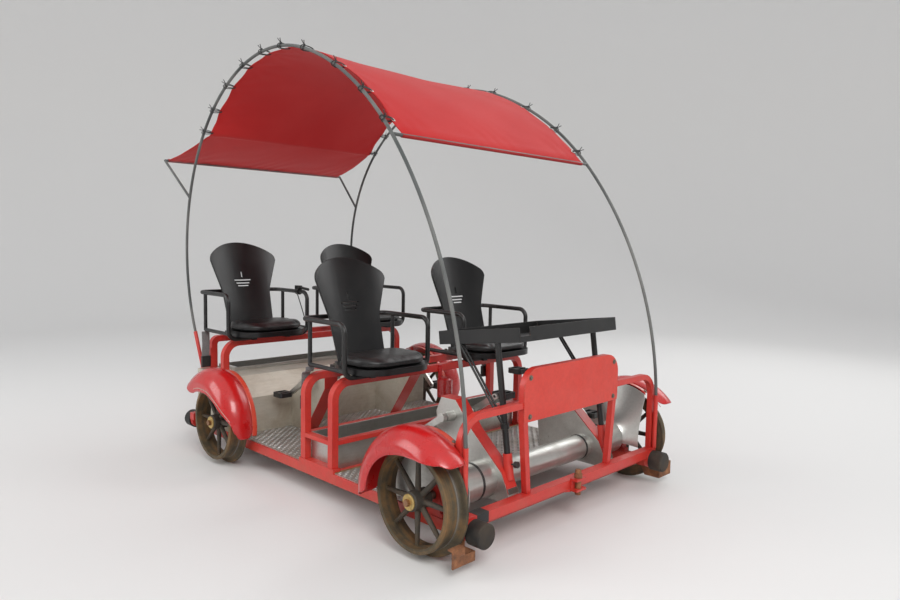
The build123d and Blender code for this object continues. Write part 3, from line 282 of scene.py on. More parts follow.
# Coated canopy cloth: plain weave on the UV map in metres, sun-bleached clouds, sheen
def canopyCloth():
    m = newShading("canopyCloth", Roughness=0.7, Sheen_Weight=0.1, Sheen_Roughness=0.4,
                                           Specular_IOR_Level=0.25)
    uv = m.put("ShaderNodeUVMap", uv_map="cloth").outputs[0]
    place = m.objectPlace()
    bleach = m.clouded(place, (1.6, 4, 0.6, 0.6), 0.4, 0.72)
    base = m.blendColour(bleach, (0.52, 0.014, 0.014), (0.57, 0.026, 0.025))
    stains = m.clouded(place, (13, 7, 0.7), 0.62, 0.8, 0.4)
    base = m.blendColour(stains, base, (0.25, 0.02, 0.02))
    threads = {"Vector": uv, "Scale": 210.0, "Distortion": 0.6}
    warp, weft = (m.put("ShaderNodeTexWave", threads, bands_direction=way).outputs[1] for way in "XY")
    weave = m.maths("MAXIMUM", warp, weft)
    base = m.blendColour(0.2, base, weave, "MULTIPLY")
    along = m.axisOf(uv, 1)
    hems = m.plus(m.maths("LESS_THAN", along, 0.045), m.maths("GREATER_THAN", along, 2.405))
    m.link(m.blendColour(m.times(hems, 0.55), base, (0.22, 0.018, 0.018)), "Base Color")
    m.bump(weave, 0.25, 0.0004)
    return m.owner


# Grey webbing: diagonal ribs and a dusty tone
def webbing():
    m = newShading("beltWebbing", Roughness=0.85, Sheen_Weight=0.2)
    inputs = {"Vector": m.objectPlace((1, 1, 0.7)), "Scale": 190.0, "Distortion": 0.4}
    ribs = m.put("ShaderNodeTexWave", inputs, bands_direction="DIAGONAL").outputs[1]
    dust = m.noise(m.objectPlace(), 30, 6)
    base = m.blendColour(dust, (0.16, 0.16, 0.165), (0.36, 0.35, 0.34))
    m.link(m.blendColour(0.5, base, ribs, "MULTIPLY"), "Base Color")
    m.bump(ribs, 0.5, 0.0006)
    return m.owner


# Seat vinyl: leather grain from cells, a few dusty clouds
def seatVinyl():
    m = newShading("seatVinyl", Specular_IOR_Level=0.55)
    place = m.objectPlace()
    cells = m.put("ShaderNodeTexVoronoi", {"Vector": place, "Scale": 420.0}, feature="DISTANCE_TO_EDGE").outputs[0]
    dust = m.clouded(place, (7, 6, 0.65), 0.45, 0.75, 0.5)
    m.link(m.blendColour(dust, (0.006, 0.006, 0.0065), (0.03, 0.028, 0.026)), "Base Color")
    m.link(m.plus(m.times(dust, 0.4), 0.34), "Roughness")
    m.bump(cells, 0.35, 0.0008)
    return m.owner


paints = {
    "redFrame": ((0.58, 0.026, 0.019), (0.63, 0.048, 0.032), framePaint),
    "redGuard": ((0.52, 0.004, 0.006), (0.57, 0.012, 0.011), guardPaint),
    "redStrip": ((0.66, 0.06, 0.03), (0.7, 0.09, 0.05), guardPaint),
    "redBoard": ((0.64, 0.046, 0.03), (0.67, 0.062, 0.042), boardPaint),
    "blackSteel": ((0.006, 0.006, 0.0065), (0.014, 0.0135, 0.013), blackPaint),
    "greyPole": ((0.062, 0.068, 0.067), (0.19, 0.19, 0.18), polePaint),
}
plain = {"metal": 0.9, "brush": (6, 0.5, 6), "smear": 0.5, "rough": 0.34}
milled = {**plain, "brush": (1, 6, 1), "rough": 0.5}
sheets = {
    "brushedSheet": ((0.6, 0.6, 0.57), (0.36, 0.35, 0.31), plain),
    "creamSheet": ((0.62, 0.58, 0.49), (0.4, 0.33, 0.24), {**plain, "metal": 0.35, "smear": 0.7, "rough": 0.42}),
    "crankAlloy": ((0.66, 0.65, 0.62), (0.3, 0.28, 0.24), {**milled, "rough": 0.32}),
    "nakedSteel": ((0.1, 0.095, 0.09), (0.16, 0.11, 0.07), {**milled, "metal": 0.7, "smear": 0.6}),
    "goldTrim": ((0.42, 0.27, 0.11), (0.2, 0.11, 0.05), {**milled, "metal": 0.6, "smear": 0.8}),
}
rubber = {"gloss": 0.3, "dust": 0.8, "bevel": 0.006, "scuff": 0.8, "rough": 0.55, "grain": 110, "relief": 0.5}
shell = {"gloss": 0.4, "dust": 0.25, "bevel": 0.004, "scuff": 0.25, "rough": 0.3, "grain": 300, "relief": 0.2}
plastic = {"gloss": 0.45, "dust": 0.5, "bevel": 0.0015, "scuff": 0.5, "rough": 0.36, "grain": 400, "relief": 0.2}
mouldings = {
    "padRubber": ((0.022, 0.021, 0.02), (0.11, 0.08, 0.055), rubber),
    "seatPlastic": ((0.0045, 0.0045, 0.005), (0.03, 0.029, 0.027), shell),
    "blackPlastic": ((0.013, 0.013, 0.014), (0.075, 0.07, 0.062), plastic),
}
mats = {
    "frontWheelIron": wheelIron("frontWheelIron", axles["front"]),
    "rearWheelIron": wheelIron("rearWheelIron", axles["rear"]),
    "axleSteel": axleSteel(),
    "rustyPlate": rustyPlate(),
    "treadPlate": treadPlate(),
    # Near-black colour for the discs inside the tread collars: painted shade standing in for the dark inside of each
    # drilled hole
    "holeShadeBlack": newShading("holeShadeBlack", Base_Color=(0.02, 0.018, 0.016, 1), Roughness=0.8).owner,
    "canopyCloth": canopyCloth(),
    "beltWebbing": webbing(),
    "seatVinyl": seatVinyl(),
}
for make, looks in ((paintedSteel, paints), (brushedSheet, sheets), (blackMoulding, mouldings)):
    mats.update({name: make(name, *look) for name, look in looks.items()})

finishes = {
    "redFrame": ["chassis_frame", "front_hitch", "rear_tow_eye", "case_strips", "front_seat_frame", "rear_seat_frame",
                 "front_guard_rail", "board_hoop", "pole_sockets", "post_cups", "axle_boxes"],
    "redGuard": ["front_mudguards", "rear_mudguards", "canister"],
    "redBoard": ["number_board"],
    "blackSteel": ["front_armrests", "rear_armrests", "seat_slides", "tray", "tray_posts", "brake_lever"],
    "greyPole": ["canopy_poles", "canopy_struts"],
    "brushedSheet": ["front_axle_cover", "front_pedal_cases", "front_bin", "rear_bin"],
    "creamSheet": ["rear_axle_cover", "rear_pedal_cases"],
    "crankAlloy": [name for name in nodes if name.endswith("_crank")],
    "frontWheelIron": ["front_wheels"],
    "rearWheelIron": ["rear_wheels"],
    "axleSteel": ["front_axle", "rear_axle"],
    "rustyPlate": ["rail_sweepers", "hitch_pin"],
    "treadPlate": ["floor_panels"],
    "padRubber": ["bumper_pads"],
    "seatPlastic": ["front_seat_shells", "rear_seat_shells"],
    "blackPlastic": ["cup_knobs", "belt_buckles", "brake_cable"] + [name for name in nodes if name.endswith("_pedal")],
    "canopyCloth": ["canopy"],
    "seatVinyl": ["front_seat_cushions", "rear_seat_cushions"],
    "beltWebbing": ["belt_straps"],
}
for finish, names in finishes.items():
    for name in names:
        held = nodes[name].data.materials
        held.clear()
        held.append(mats[finish])
print("finishes are on the solids")


# ---- mesh helpers: a part is (points, faces), and makePiece turns a list of parts into one object ----
def unit(ways):
    return ways / np.linalg.norm(ways, axis=-1, keepdims=True)


# Length along a path at each of its points
def runLength(path):
    return np.concatenate([[0], np.cumsum(np.linalg.norm(np.diff(path, axis=0), axis=1))])


def gridPart(points, wrap=True, caps=False):
    rows, columns = points.shape[:2]
    index = np.arange(rows * columns).reshape(rows, columns)
    if wrap:
        index = np.concatenate([index, index[:, :1]], axis=1)
    quads = np.stack([index[:-1, :-1], index[:-1, 1:], index[1:, 1:], index[1:, :-1]], axis=-1).reshape(-1, 4)
    faces = quads.tolist()
    if caps:
        faces += [index[0, :columns].tolist(), index[-1, :columns].tolist()[::-1]]
    return points.reshape(-1, 3), faces


# A profile of (radius, height) turned round the z axis
def turned(profile, count):
    radius, height = np.array(profile).T
    angle = np.arange(count) * 2 * np.pi / count
    flat = radius[:, None, None] * np.stack([np.cos(angle), np.sin(angle)], -1)
    return gridPart(np.concatenate([flat, np.broadcast_to(height[:, None, None], (len(height), count, 1))], -1))


# A ring of a given section carried along a path: centre plus radius times (cos side + sin lift)
def tube(path, radius, count=10, up=(0, 1, 0), closed=False):
    path = np.asarray(path, float)
    run = unit(np.roll(path, -1, 0) - np.roll(path, 1, 0) if closed else np.gradient(path, axis=0))
    side = unit(np.cross(run, np.broadcast_to(up, run.shape)))
    lift = np.cross(side, run)
    angle = np.arange(count) * 2 * np.pi / count
    radius = np.broadcast_to(radius, (len(path),))
    points = path[:, None] + radius[:, None, None] * (
        np.cos(angle)[None, :, None] * side[:, None] + np.sin(angle)[None, :, None] * lift[:, None])
    if closed:
        points = np.concatenate([points, points[:1]])
    return gridPart(points, caps=not closed)


# A flat band of a width and a thickness carried along a path
def strip(path, width, thickness, across=(0, 1, 0)):
    path = np.asarray(path, float)
    across = np.broadcast_to(across, path.shape)
    out = unit(np.cross(unit(np.gradient(path, axis=0)), across))
    corners = [(-1, -1), (1, -1), (1, 1), (-1, 1)]
    points = np.stack([path + across * a * width / 2 + out * b * thickness / 2 for a, b in corners], axis=1)
    return gridPart(points, caps=True)


# The part copied to points, its z axis turned to each normal
def copies(part, points, normals):
    vertices, faces = part
    points = np.atleast_2d(points)
    normals = unit(np.broadcast_to(np.asarray(normals, float), points.shape))
    guide = np.where(np.abs(normals[:, :1]) > 0.8, [[0, 1, 0]], [[1, 0, 0]])
    first = unit(np.cross(guide, normals))
    turn = np.stack([first, np.cross(normals, first), normals], axis=-1)
    placed = np.einsum("nij,vj->nvi", turn, vertices) + points[:, None]
    step = len(vertices)
    allFaces = [[corner + copy * step for corner in face] for copy in range(len(points)) for face in faces]
    return placed.reshape(-1, 3), allFaces


def placed(name, data):
    item = bpy.data.objects.new(name, data)
    scene.collection.objects.link(item)
    return item


def shadeSmooth(mesh):
    mesh.polygons.foreach_set("use_smooth", np.ones(len(mesh.polygons), bool))


def joined(parts):
    points, faces, step = [], [], 0
    for vertices, partFaces in parts:
        points.append(vertices)
        faces += [[corner + step for corner in face] for face in partFaces]
        step += len(vertices)
    return np.concatenate(points), faces


def makePiece(name, parts, material, merge=True, sharp=35):
    vertices, faces = joined(parts if isinstance(parts, list) else [parts])
    mesh = bpy.data.meshes.new(name)
    mesh.from_pydata(vertices.tolist(), [], faces)
    if merge:
        work = bmesh.new()
        work.from_mesh(mesh)
        bmesh.ops.remove_doubles(work, verts=work.verts, dist=1e-6)
        bmesh.ops.recalc_face_normals(work, faces=work.faces)
        work.to_mesh(mesh)
        work.free()
    shadeSmooth(mesh)
    mesh.set_sharp_from_angle(angle=radians(sharp))
    mesh.materials.append(mats[material])
    piece = placed(name, mesh)
    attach(piece, "chassis")
    return piece


def thicken(piece, wall):
    solid = piece.modifiers.new("thickness", "SOLIDIFY")
    solid.thickness = wall
    solid.offset = 0


# ---- the bow of the canopy, as arcs from the front sockets over to the rear ones ----
bow = {
    "foot": (0.9505 + middleX, 0.445),
    "heading": 92.2,
    "arcs": [(1.907, 36.7), (1.452, 32.2), (0.955, 80.5), (1.043, 54.4)],  # radius, turn in degrees
    "footY": 0.676,
    "narrowing": 0.03202,
}


# The way square to a heading in degrees, on the outer side of the bow
def outwardWay(heading):
    angle = np.radians(heading)
    return np.stack([np.sin(angle), -np.cos(angle)], -1)


# Points of the bow at given turns: each arc's centre plus its radius times the outward way there
def bowAt(turns):
    turns = np.asarray(turns, float)
    place = np.array(bow["foot"])
    heading, done = bow["heading"], 0.0
    points = np.zeros((*turns.shape, 2))
    outs = np.zeros((*turns.shape, 2))
    for radius, turn in bow["arcs"]:
        centre = place - outwardWay(heading) * radius
        ways = outwardWay(heading + turns - done)
        here = (turns >= done - 1e-9) & (turns <= done + turn + 1e-9)
        points[here] = (centre + ways * radius)[here]
        outs[here] = ways[here]
        heading += turn
        done += turn
        place = centre + outwardWay(heading) * radius
    return points, outs


def poleY(x):
    return bow["footY"] - (bow["foot"][0] - x) * bow["narrowing"]


canopy = {
    "frontTurn": 38.0,
    "rearTurn": 137.0,
    "inset": 0.04,
    "tail": (-1.598 + middleX, 1.632),
    "tailHalf": 0.622,
    "sleeve": 0.0095,
    "columns": 97,
    "sag": 0.016,
    "tieTurns": [41.1, 48.8, 58.0, 68.7, 81.0, 91.9, 103.6, 115.6, 127.2, 136.2],
    "thickness": 0.002,
    "barGap": 0.0073,
    "rollSteps": 13,
    "tieFold": 0.0028, "hemFold": 0.0032, "wave": 0.0022,
    "tubeOut": 0.0115,  # from the pole's middle to the cord round it
}


# Cloth: each row crosses the car at one place of the bow, its ends pulled in between the ties.
# Both hems roll round their bars. Folds run from each tie and die away with distance from it.
def canopySheet():
    turns = np.linspace(canopy["frontTurn"], canopy["rearTurn"], 86)
    line, outs = bowAt(turns)
    last, tail = line[-1], np.array(canopy["tail"])
    share = np.linspace(0, 1, 26)[1:, None]
    way = unit(tail - last)
    tailOut = np.array([-way[1], way[0]])
    tailLine = last + (tail - way * canopy["sleeve"] - last) * share
    tailLine = tailLine - np.array([0, 1]) * 0.012 * np.sin(np.pi * share)
    frontWay = unit(line[0] - line[1])
    bar = line[0] + frontWay * canopy["barGap"]
    steps = canopy["rollSteps"]
    roll = np.radians(np.linspace(-200, 40, steps))[:, None]
    frontLoop = bar + canopy["sleeve"] * (np.cos(roll) * frontWay + np.sin(roll) * outs[0])
    rearLoop = tail + canopy["sleeve"] * (np.cos(roll[::-1]) * way + np.sin(roll[::-1]) * tailOut)
    rows = np.concatenate([frontLoop, line[2:], tailLine[:-1], rearLoop])
    tailRows = len(tailLine) - 1 + steps
    rowOuts = np.concatenate([np.repeat(outs[:1], steps, 0), outs[2:], np.repeat(tailOut[None], tailRows, 0)])
    x = rows[:, 0]
    lastHalf = poleY(last[0]) - canopy["inset"]
    half = np.where(x >= last[0], poleY(x) - canopy["inset"],
                    lastHalf + (canopy["tailHalf"] - lastHalf) * (last[0] - x) / (last[0] - tail[0]))
    half[:steps] = poleY(line[0][0]) - canopy["inset"]
    length = runLength(rows)
    ties = bowAt(canopy["tieTurns"])[0]
    gaps = np.linalg.norm(rows[:, None] - ties[None], axis=-1)
    pull = 0.01 * (1 - np.exp(-(gaps.min(1) / 0.055) ** 2)) * (x >= last[0] - 0.03)
    across = np.linspace(-1, 1, canopy["columns"])[None]
    inSleeve = np.ones(len(rows))
    inSleeve[:steps] = inSleeve[-steps:] = 0
    y = across * half[:, None] - np.sign(across) * np.abs(across) ** 8 * pull[:, None]
    middle = 1 - across ** 2
    depth = -canopy["sag"] * middle * np.sin(np.pi * length / length[-1])[:, None] ** 0.5
    for tie in ties:
        for side in sides:
            reach = np.hypot(np.linalg.norm(rows - tie, axis=-1)[:, None], y - side * half[:, None])
            angle = np.arctan2(y - side * half[:, None], ((rows - tie) @ np.array([1.0, 0.6]))[:, None])
            depth = depth + canopy["tieFold"] * np.exp(-reach / 0.11) * np.sin(9 * angle) * np.minimum(reach / 0.03, 1)
    hem = np.exp(-length / 0.09)[:, None] + np.exp(-(length[-1] - length) / 0.12)[:, None]
    down = length[:, None]
    depth = depth + canopy["hemFold"] * hem * np.sin(across * 31 + 4 * np.sin(across * 7) + down * 40)
    depth = depth + canopy["wave"] * np.sin(across * 5.3 + down * 3.1) * np.sin(down * 9.0 + across * 2)
    depth = depth * inSleeve[:, None]
    points = np.stack([rows[:, :1] + rowOuts[:, :1] * depth, y, rows[:, 1:] + rowOuts[:, 1:] * depth], -1)
    piece = makePiece("canopyCloth", gridPart(points, wrap=False), "canopyCloth", merge=False, sharp=80)
    uv = np.stack([y, np.broadcast_to(length[:, None], y.shape)], -1).reshape(-1, 2)
    corners = np.zeros(len(piece.data.loops), int)
    piece.data.loops.foreach_get("vertex_index", corners)
    layer = piece.data.uv_layers.new(name="cloth")
    layer.data.foreach_set("uv", uv[corners].astype(np.float32).ravel())
    thicken(piece, canopy["thickness"])
    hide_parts("canopy")


# Ties: a doubled black cord from an eyelet in the cloth's edge round the pole, with a knot outside
def canopyTies():
    places, outs = bowAt(canopy["tieTurns"])
    angle = np.linspace(0, 2 * np.pi, 29)[:-1, None]
    cosine, sine = np.cos(angle), np.sin(angle)
    loops, eyelets = [], []
    eyelet = turned([(0.0045, 0), (0.0095, 0), (0.0098, 0.0012), (0.0085, 0.0022), (0.0048, 0.0022), (0.0045, 0)], 16)
    knot = turned([(0, -0.006), (0.0045, -0.0045), (0.0062, 0), (0.0045, 0.0045), (0, 0.006)], 10)
    for (x, z), out in zip(places, outs):
        along = np.array([-out[1], 0, out[0]])
        out3 = np.array([out[0], 0, out[1]])
        for side in sides:
            pole = np.array([x, side * poleY(x), z])
            inward = np.array([0, -side, 0])
            hole = pole + inward * (canopy["inset"] + 0.01)
            for lean in (-0.006, 0.006):
                wide = np.where(cosine > 0, canopy["inset"] + 0.012, canopy["tubeOut"])
                path = pole + inward * wide * cosine + out3 * canopy["tubeOut"] * sine
                path = path + along * lean * (1 - cosine * 0.7)
                loops.append(tube(path, 0.0022, 6, up=along, closed=True))
            loops.append(copies(knot, pole + out3 * 0.0125, along))
            for lean in (-0.5, 0.6):
                end = out3 * 0.02 + along * 0.018 * lean - inward * 0.012
                path = pole + out3 * 0.012 + end * np.linspace(0, 1, 6)[:, None] ** 1.2
                loops.append(tube(path, 0.0019, 6, up=inward))
            eyelets.append(copies(eyelet, hole + out3 * 0.0012, out3))
    makePiece("canopyTies", loops, "blackPlastic")
    makePiece("canopyEyelets", eyelets, "crankAlloy")


canopySheet()
canopyTies()
print("canopy is up")


# ---- seats: pads blown up as cloth, then piped ----
pads = {"shrink": 0.004, "voxel": 0.006, "pressure": 4.0, "frames": 20, "cap": 0.01, "waterfall": 0.012,
        "reach": 0.075, "piping": 0.0022, "seamDrop": 0.014}


# The evaluated mesh of an object, as one of its own
def bakedMesh(item):
    return bpy.data.meshes.new_from_object(item.evaluated_get(bpy.context.evaluated_depsgraph_get()))


def meshPoints(mesh):
    points = np.zeros(len(mesh.vertices) * 3)
    mesh.vertices.foreach_get("co", points)
    return points.reshape(-1, 3)


def seatPads(row):
    work = bmesh.new()
    work.from_mesh(nodes[f"{row}_seat_cushions"].data)
    bmesh.ops.remove_doubles(work, verts=work.verts, dist=1e-6)
    for side in sides:
        own = [vertex for vertex in work.verts if vertex.co.y * side > 0]
        low = np.min([vertex.co for vertex in own], axis=0)
        high = np.max([vertex.co for vertex in own], axis=0)
        centre, share = (low + high) / 2, 1 - 2 * pads["shrink"] / (high - low)
        for vertex in own:
            vertex.co = centre + (np.array(vertex.co) - centre) * share
    bmesh.ops.recalc_face_normals(work, faces=work.faces)
    mesh = bpy.data.meshes.new("seatPads")
    work.to_mesh(mesh)
    work.free()
    piece = placed(f"{row}SeatPads", mesh)
    remesh = piece.modifiers.new("voxels", "REMESH")
    remesh.mode = "VOXEL"
    remesh.voxel_size = pads["voxel"]
    mesh = bakedMesh(piece)
    piece.modifiers.clear()
    piece.data = mesh
    start = meshPoints(mesh)
    points = start.copy()
    cloth = piece.modifiers.new("cloth", "CLOTH")
    cloth.settings.use_pressure = True
    cloth.settings.uniform_pressure_force = pads["pressure"]
    cloth.settings.effector_weights.gravity = 0
    for frameIndex in range(1, pads["frames"] + 1):
        scene.frame_set(frameIndex)
    move = meshPoints(bakedMesh(piece)) - start
    piece.modifiers.clear()
    scene.frame_set(1)
    far = np.linalg.norm(move, axis=1, keepdims=True)
    points = start + move * np.minimum(1, pads["cap"] / np.maximum(far, 1e-9))
    low, high = (np.array(corner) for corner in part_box(f"{row}_seat_cushions"))
    points = np.clip(points, low + 0.0004, high + (0.004, 0, 0.006))
    # Waterfall: z drops by depth times s*s near the front, and by a little at the sides, only above the middle
    low, high = points.min(0), points.max(0)
    s = np.clip((points[:, 0] - high[0] + pads["reach"]) / pads["reach"], 0, 1)
    top = np.clip((points[:, 2] - (low[2] + high[2]) / 2) / ((high[2] - low[2]) / 2), 0, 1)
    points[:, 2] -= pads["waterfall"] * s ** 2 * top
    mesh.vertices.foreach_set("co", points.ravel())
    # Piping: the outline of each pad seen from above, a little below its top, smoothed round the pad
    cords = []
    for side in sides:
        own = points[points[:, 1] * side > 0]
        centre = (own.min(0) + own.max(0)) / 2
        upper = own[own[:, 2] > own[:, 2].max() - pads["seamDrop"] - 0.012]
        away = upper - centre
        angle, far = np.arctan2(away[:, 1], away[:, 0]), np.hypot(away[:, 0], away[:, 1])
        bins = np.linspace(-np.pi, np.pi, 97)
        rim = []
        for first, last in zip(bins, bins[1:]):
            inside = (angle >= first) & (angle < last)
            rim.append(upper[inside][np.argmax(far[inside])])
        rim = np.array(rim)
        for _ in range(3):
            rim = (np.roll(rim, 1, 0) + 2 * rim + np.roll(rim, -1, 0)) / 4
        cords.append(tube(rim, pads["piping"], 8, up=(0, 0, 1), closed=True))
    soft = piece.modifiers.new("soft", "SUBSURF")
    soft.levels = soft.render_levels = 1
    shadeSmooth(mesh)
    mesh.materials.clear()
    mesh.materials.append(mats["seatVinyl"])
    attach(piece, "chassis")
    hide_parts(f"{row}_seat_cushions")
    makePiece(f"{row}SeatPiping", cords, "seatVinyl")


for row in bothRows:
    seatPads(row)
print("seat pads are blown up and piped")


# ---- mudguards: a round crown whose skirt is cut along a measured edge ----
guards = {
    "flat": (0.6635, 0.6895, 0.262),  # inner y, outer y, radius
    "arc": [(0.69, 0.262), (0.75, 0.2805), (0.8365, 0.214)],  # y, radius
    "skirtLow": 0.166,
    "tabReach": (0.18, 0.2602),
    "wall": 0.0026,
    "front": {"tabs": (62, 128), "notch": (38, 60),
              "edge": [(39, 0.262), (44, 0.252), (56, 0.223), (73, 0.2), (88, 0.19), (100, 0.186),
                       (176, 0.186), (183, 0.202), (188, 0.24)]},
    "rear": {"tabs": (102, 134), "notch": (-90, -80),
             "edge": [(-8, 0.272), (8, 0.262), (27, 0.221), (51, 0.189), (83, 0.17), (118, 0.17),
                      (128, 0.186), (135, 0.218), (141, 0.262)]},
}


# Points at a radius and an angle about an axle: x + r cos a, y, z + r sin a
def onAxle(axleX, radius, angle, y):
    return np.stack(np.broadcast_arrays(axleX + radius * np.cos(angle), y, axleZ + radius * np.sin(angle)), -1)


# Points on the circle through three, from the first to the last
def arcThrough(a, b, c, count):
    a, b, c = (np.array(point) for point in (a, b, c))
    centre = np.linalg.solve(2 * np.array([b - a, c - a]), [b @ b - a @ a, c @ c - a @ a])
    start, end = (np.arctan2(*(point - centre)[::-1]) for point in (a, c))
    angle = np.linspace(start, end, count)
    return centre + np.hypot(*(a - centre)) * np.stack([np.cos(angle), np.sin(angle)], -1)


def mudguards(row):
    look = guards[row]
    section = arcThrough(*guards["arc"], 40)
    section = np.concatenate([section, [(section[-1, 0], guards["skirtLow"])]])
    run = runLength(section)
    crown = int(np.argmax(section[:, 1]))
    degrees, radii = np.array(look["edge"]).T
    degreesAll = np.linspace(degrees[0], degrees[-1], 91)
    edge = np.interp(degreesAll, degrees, radii)
    edge = np.convolve(np.pad(edge, 2, mode="edge"), np.ones(5) / 5, "valid")
    runEnd = np.interp(edge, section[crown:, 1][::-1], run[crown:][::-1])
    share = np.linspace(0, 1, 30)[None]
    along = share * runEnd[:, None]
    y = np.interp(along, run, section[:, 0])
    radius = np.interp(along, run, section[:, 1])
    # Rounded ends: the rows near an end turn back by 7 u^4 degrees, u from -1 to 1 across the guard
    near = np.exp(-(degreesAll - degreesAll[0]) / 6) - np.exp(-(degreesAll[-1] - degreesAll) / 6)
    angle = np.radians(degreesAll[:, None] + 7 * (2 * share - 1) ** 4 * near[:, None])
    crowns, strips, beads, bolts, edgeMarks, tabs = [], [], [], [], [], []
    bolt = turned([(0, 0.0052), (0.0045, 0.005), (0.0072, 0.003), (0.0078, 0.0), (0, 0.0)], 12)
    notch = (degreesAll > look["notch"][0]) & (degreesAll < look["notch"][1])
    for side in sides:
        grid = onAxle(axles[row], radius, angle, side * y)
        crowns.append(gridPart(grid, wrap=False))
        beads.append(tube(grid[:, -1] + (0, -side * 0.0005, 0), 0.0026, 8))
        inner = np.where(notch, guards["flat"][1] - 0.0005, guards["flat"][0])[:, None]
        stripY = inner + (guards["flat"][1] - inner) * np.linspace(0, 1, 5)[None]
        flat = onAxle(axles[row], guards["flat"][2] - 0.0008, np.radians(degreesAll)[:, None], side * stripY)
        strips.append(gridPart(flat, wrap=False))
        for degree in look["tabs"]:
            way = np.array([np.cos(radians(degree)), 0, np.sin(radians(degree))])
            tangent = np.array([-way[2], 0, way[0]])
            centre = np.array([axles[row], side * 0.6622, axleZ])
            path = centre + way * np.linspace(*guards["tabReach"], 4)[:, None]
            tabs.append(strip(path, 0.03, 0.0024, across=tangent))
            bolts.append(copies(bolt, centre + way * 0.2625 + (0, side * 0.0145, 0), way))
        # A cream line along the near rear guard's rolled edge: partly worn paint, partly a painted highlight of the
        # edge's shine
        if row == "rear" and side < 0:
            edgeMarks.append(tube(grid[12:74, -3] + (0, side * 0.0016, 0), 0.0014, 6))
    for name, parts, material in (("Crowns", crowns, "redGuard"), ("Strips", strips, "redStrip")):
        piece = makePiece(f"{row}Guard{name}", parts, material, sharp=50)
        thicken(piece, guards["wall"])
        if name == "Crowns":
            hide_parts(f"{row}_mudguards")
    makePiece(f"{row}GuardBeads", beads, "redGuard")
    makePiece(f"{row}GuardTabs", tabs, "redGuard")
    makePiece(f"{row}GuardBolts", bolts, "axleSteel")
    if edgeMarks:
        # The cream line is painted highlight as well as wear along the edge
        makePiece(f"{row}GuardWearAndGlint", edgeMarks, "creamSheet")


for row in bothRows:
    mudguards(row)
print("mudguards are cut to their edges")


# ---- front cover: a pipe round the axle, then a sleeve that flares to a disc beside the wheel ----
flare = {"pipe": 0.056, "pipeEnd": 0.315, "sleeve": 0.076, "sleeveStart": 0.375,
         "sleeveEnd": 0.558, "disc": 0.256, "discY": 0.657, "wall": 0.003, "angles": (-15, 197), "front": 0.137,
         "bands": {"pipe": 0.285, "sleeve": 0.45}}


def frontCover():
    circle = np.linspace(0, 2 * np.pi, 73)[:-1][None]
    parts = []
    for radius, start, end in ((flare["pipe"], -flare["pipeEnd"], flare["pipeEnd"]),
                               (flare["sleeve"], flare["sleeveStart"], flare["sleeveEnd"]),
                               (flare["sleeve"], -flare["sleeveEnd"], -flare["sleeveStart"])):
        inner = radius - flare["wall"]
        radii = np.array([radius, radius, inner, inner, radius])[:, None]
        ends = np.array([start, end, end, start, start])[:, None]
        parts.append(gridPart(onAxle(axles["front"], radii, circle, ends)))
    part = np.radians(np.linspace(*flare["angles"], 90))[None]
    # The flare's radius grows as s to the 1.25 between the sleeve and the disc, and it ends at the beam
    widest = np.minimum(flare["disc"], flare["front"] / np.maximum(np.cos(part), 0.01))
    last = ((widest - flare["sleeve"]) / (flare["disc"] - flare["sleeve"])) ** 0.8
    s = np.linspace(0, 1, 14)[:, None] * last
    radii = flare["sleeve"] + (flare["disc"] - flare["sleeve"]) * s ** 1.25
    ends = flare["sleeveEnd"] + (flare["discY"] - flare["sleeveEnd"]) * s
    radii = np.concatenate([radii, (radii - 0.0012)[::-1], radii[:1]])
    ends = np.concatenate([ends, (ends + 0.0028)[::-1], ends[:1]])
    for side in sides:
        grid = onAxle(axles["front"], radii, part, side * ends).transpose(1, 0, 2)
        parts.append(gridPart(grid[:, :-1], wrap=True, caps=True))
    piece = makePiece("frontCover", parts, "brushedSheet", sharp=30)
    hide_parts("front_axle_cover")
    bands = []
    for name, y in flare["bands"].items():
        radius = flare[name]
        outer = radius + 0.0016
        ring = turned([(radius, -0.006), (outer, -0.0055), (outer, 0.0055), (radius, 0.006), (radius, -0.006)], 48)
        points = np.array([(axles["front"], side * y, axleZ) for side in sides])
        bands.append(copies(ring, points, (0, 1, 0)))
    makePiece("coverBands", bands, "blackPlastic")


frontCover()
print("front cover is flared")


# ---- tread plate: raised collars round each drilled hole, in staggered rows; each hole's inside is a near-black disc of painted shade ----
tread = {"pitch": (0.042, 0.036), "top": 0.147,
         "fields": [  # x from, x to, half width
             (-0.694, -0.141, 0.645), (0.141, 0.576, 0.645), (0.582, 0.684, 0.512)],
         "blocked": [  # x from, x to, |y| from, |y| to
             (0.478, 0.92, 0.306, 0.384), (-0.71, -0.376, 0.25, 0.35)],
         "collar": [(0.0094, -0.0002), (0.0084, 0.0014), (0.0074, 0.0017), (0.0066, 0.0002), (0.0066, -0.0002)],
         # hole: a flat disc inside each collar, coloured as painted shade rather than left open
         "hole": [(0.0066, 0.0003), (0.0066, -0.0002), (0.0001, -0.0002), (0.0001, 0.0003), (0.0066, 0.0003)]}


def treadCollars():
    places = []
    for start, end, half in tread["fields"]:
        for index, x in enumerate(np.arange(start + 0.012, end - 0.008, tread["pitch"][1] / 2)):
            shift = tread["pitch"][0] / 2 * (index % 2)
            places += [(x, y) for y in np.arange(-half + 0.012 + shift, half - 0.01, tread["pitch"][0])]
    places = np.array(places)
    for x0, x1, y0, y1 in tread["blocked"]:
        x, y = places[:, 0], np.abs(places[:, 1])
        places = places[~((x > x0) & (x < x1) & (y > y0) & (y < y1))]
    points = np.column_stack([places[:, 0] + middleX, places[:, 1], np.full(len(places), tread["top"])])
    collars, holeShades = (copies(turned(tread[name], 12), points, (0, 0, 1)) for name in ("collar", "hole"))
    makePiece("treadCollars", collars, "treadPlate", merge=False)
    # The discs inside the collars carry painted shade in place of an open hole
    makePiece("treadHoleShades", holeShades, "holeShadeBlack", merge=False)
    print("tread collars", len(points))


treadCollars()


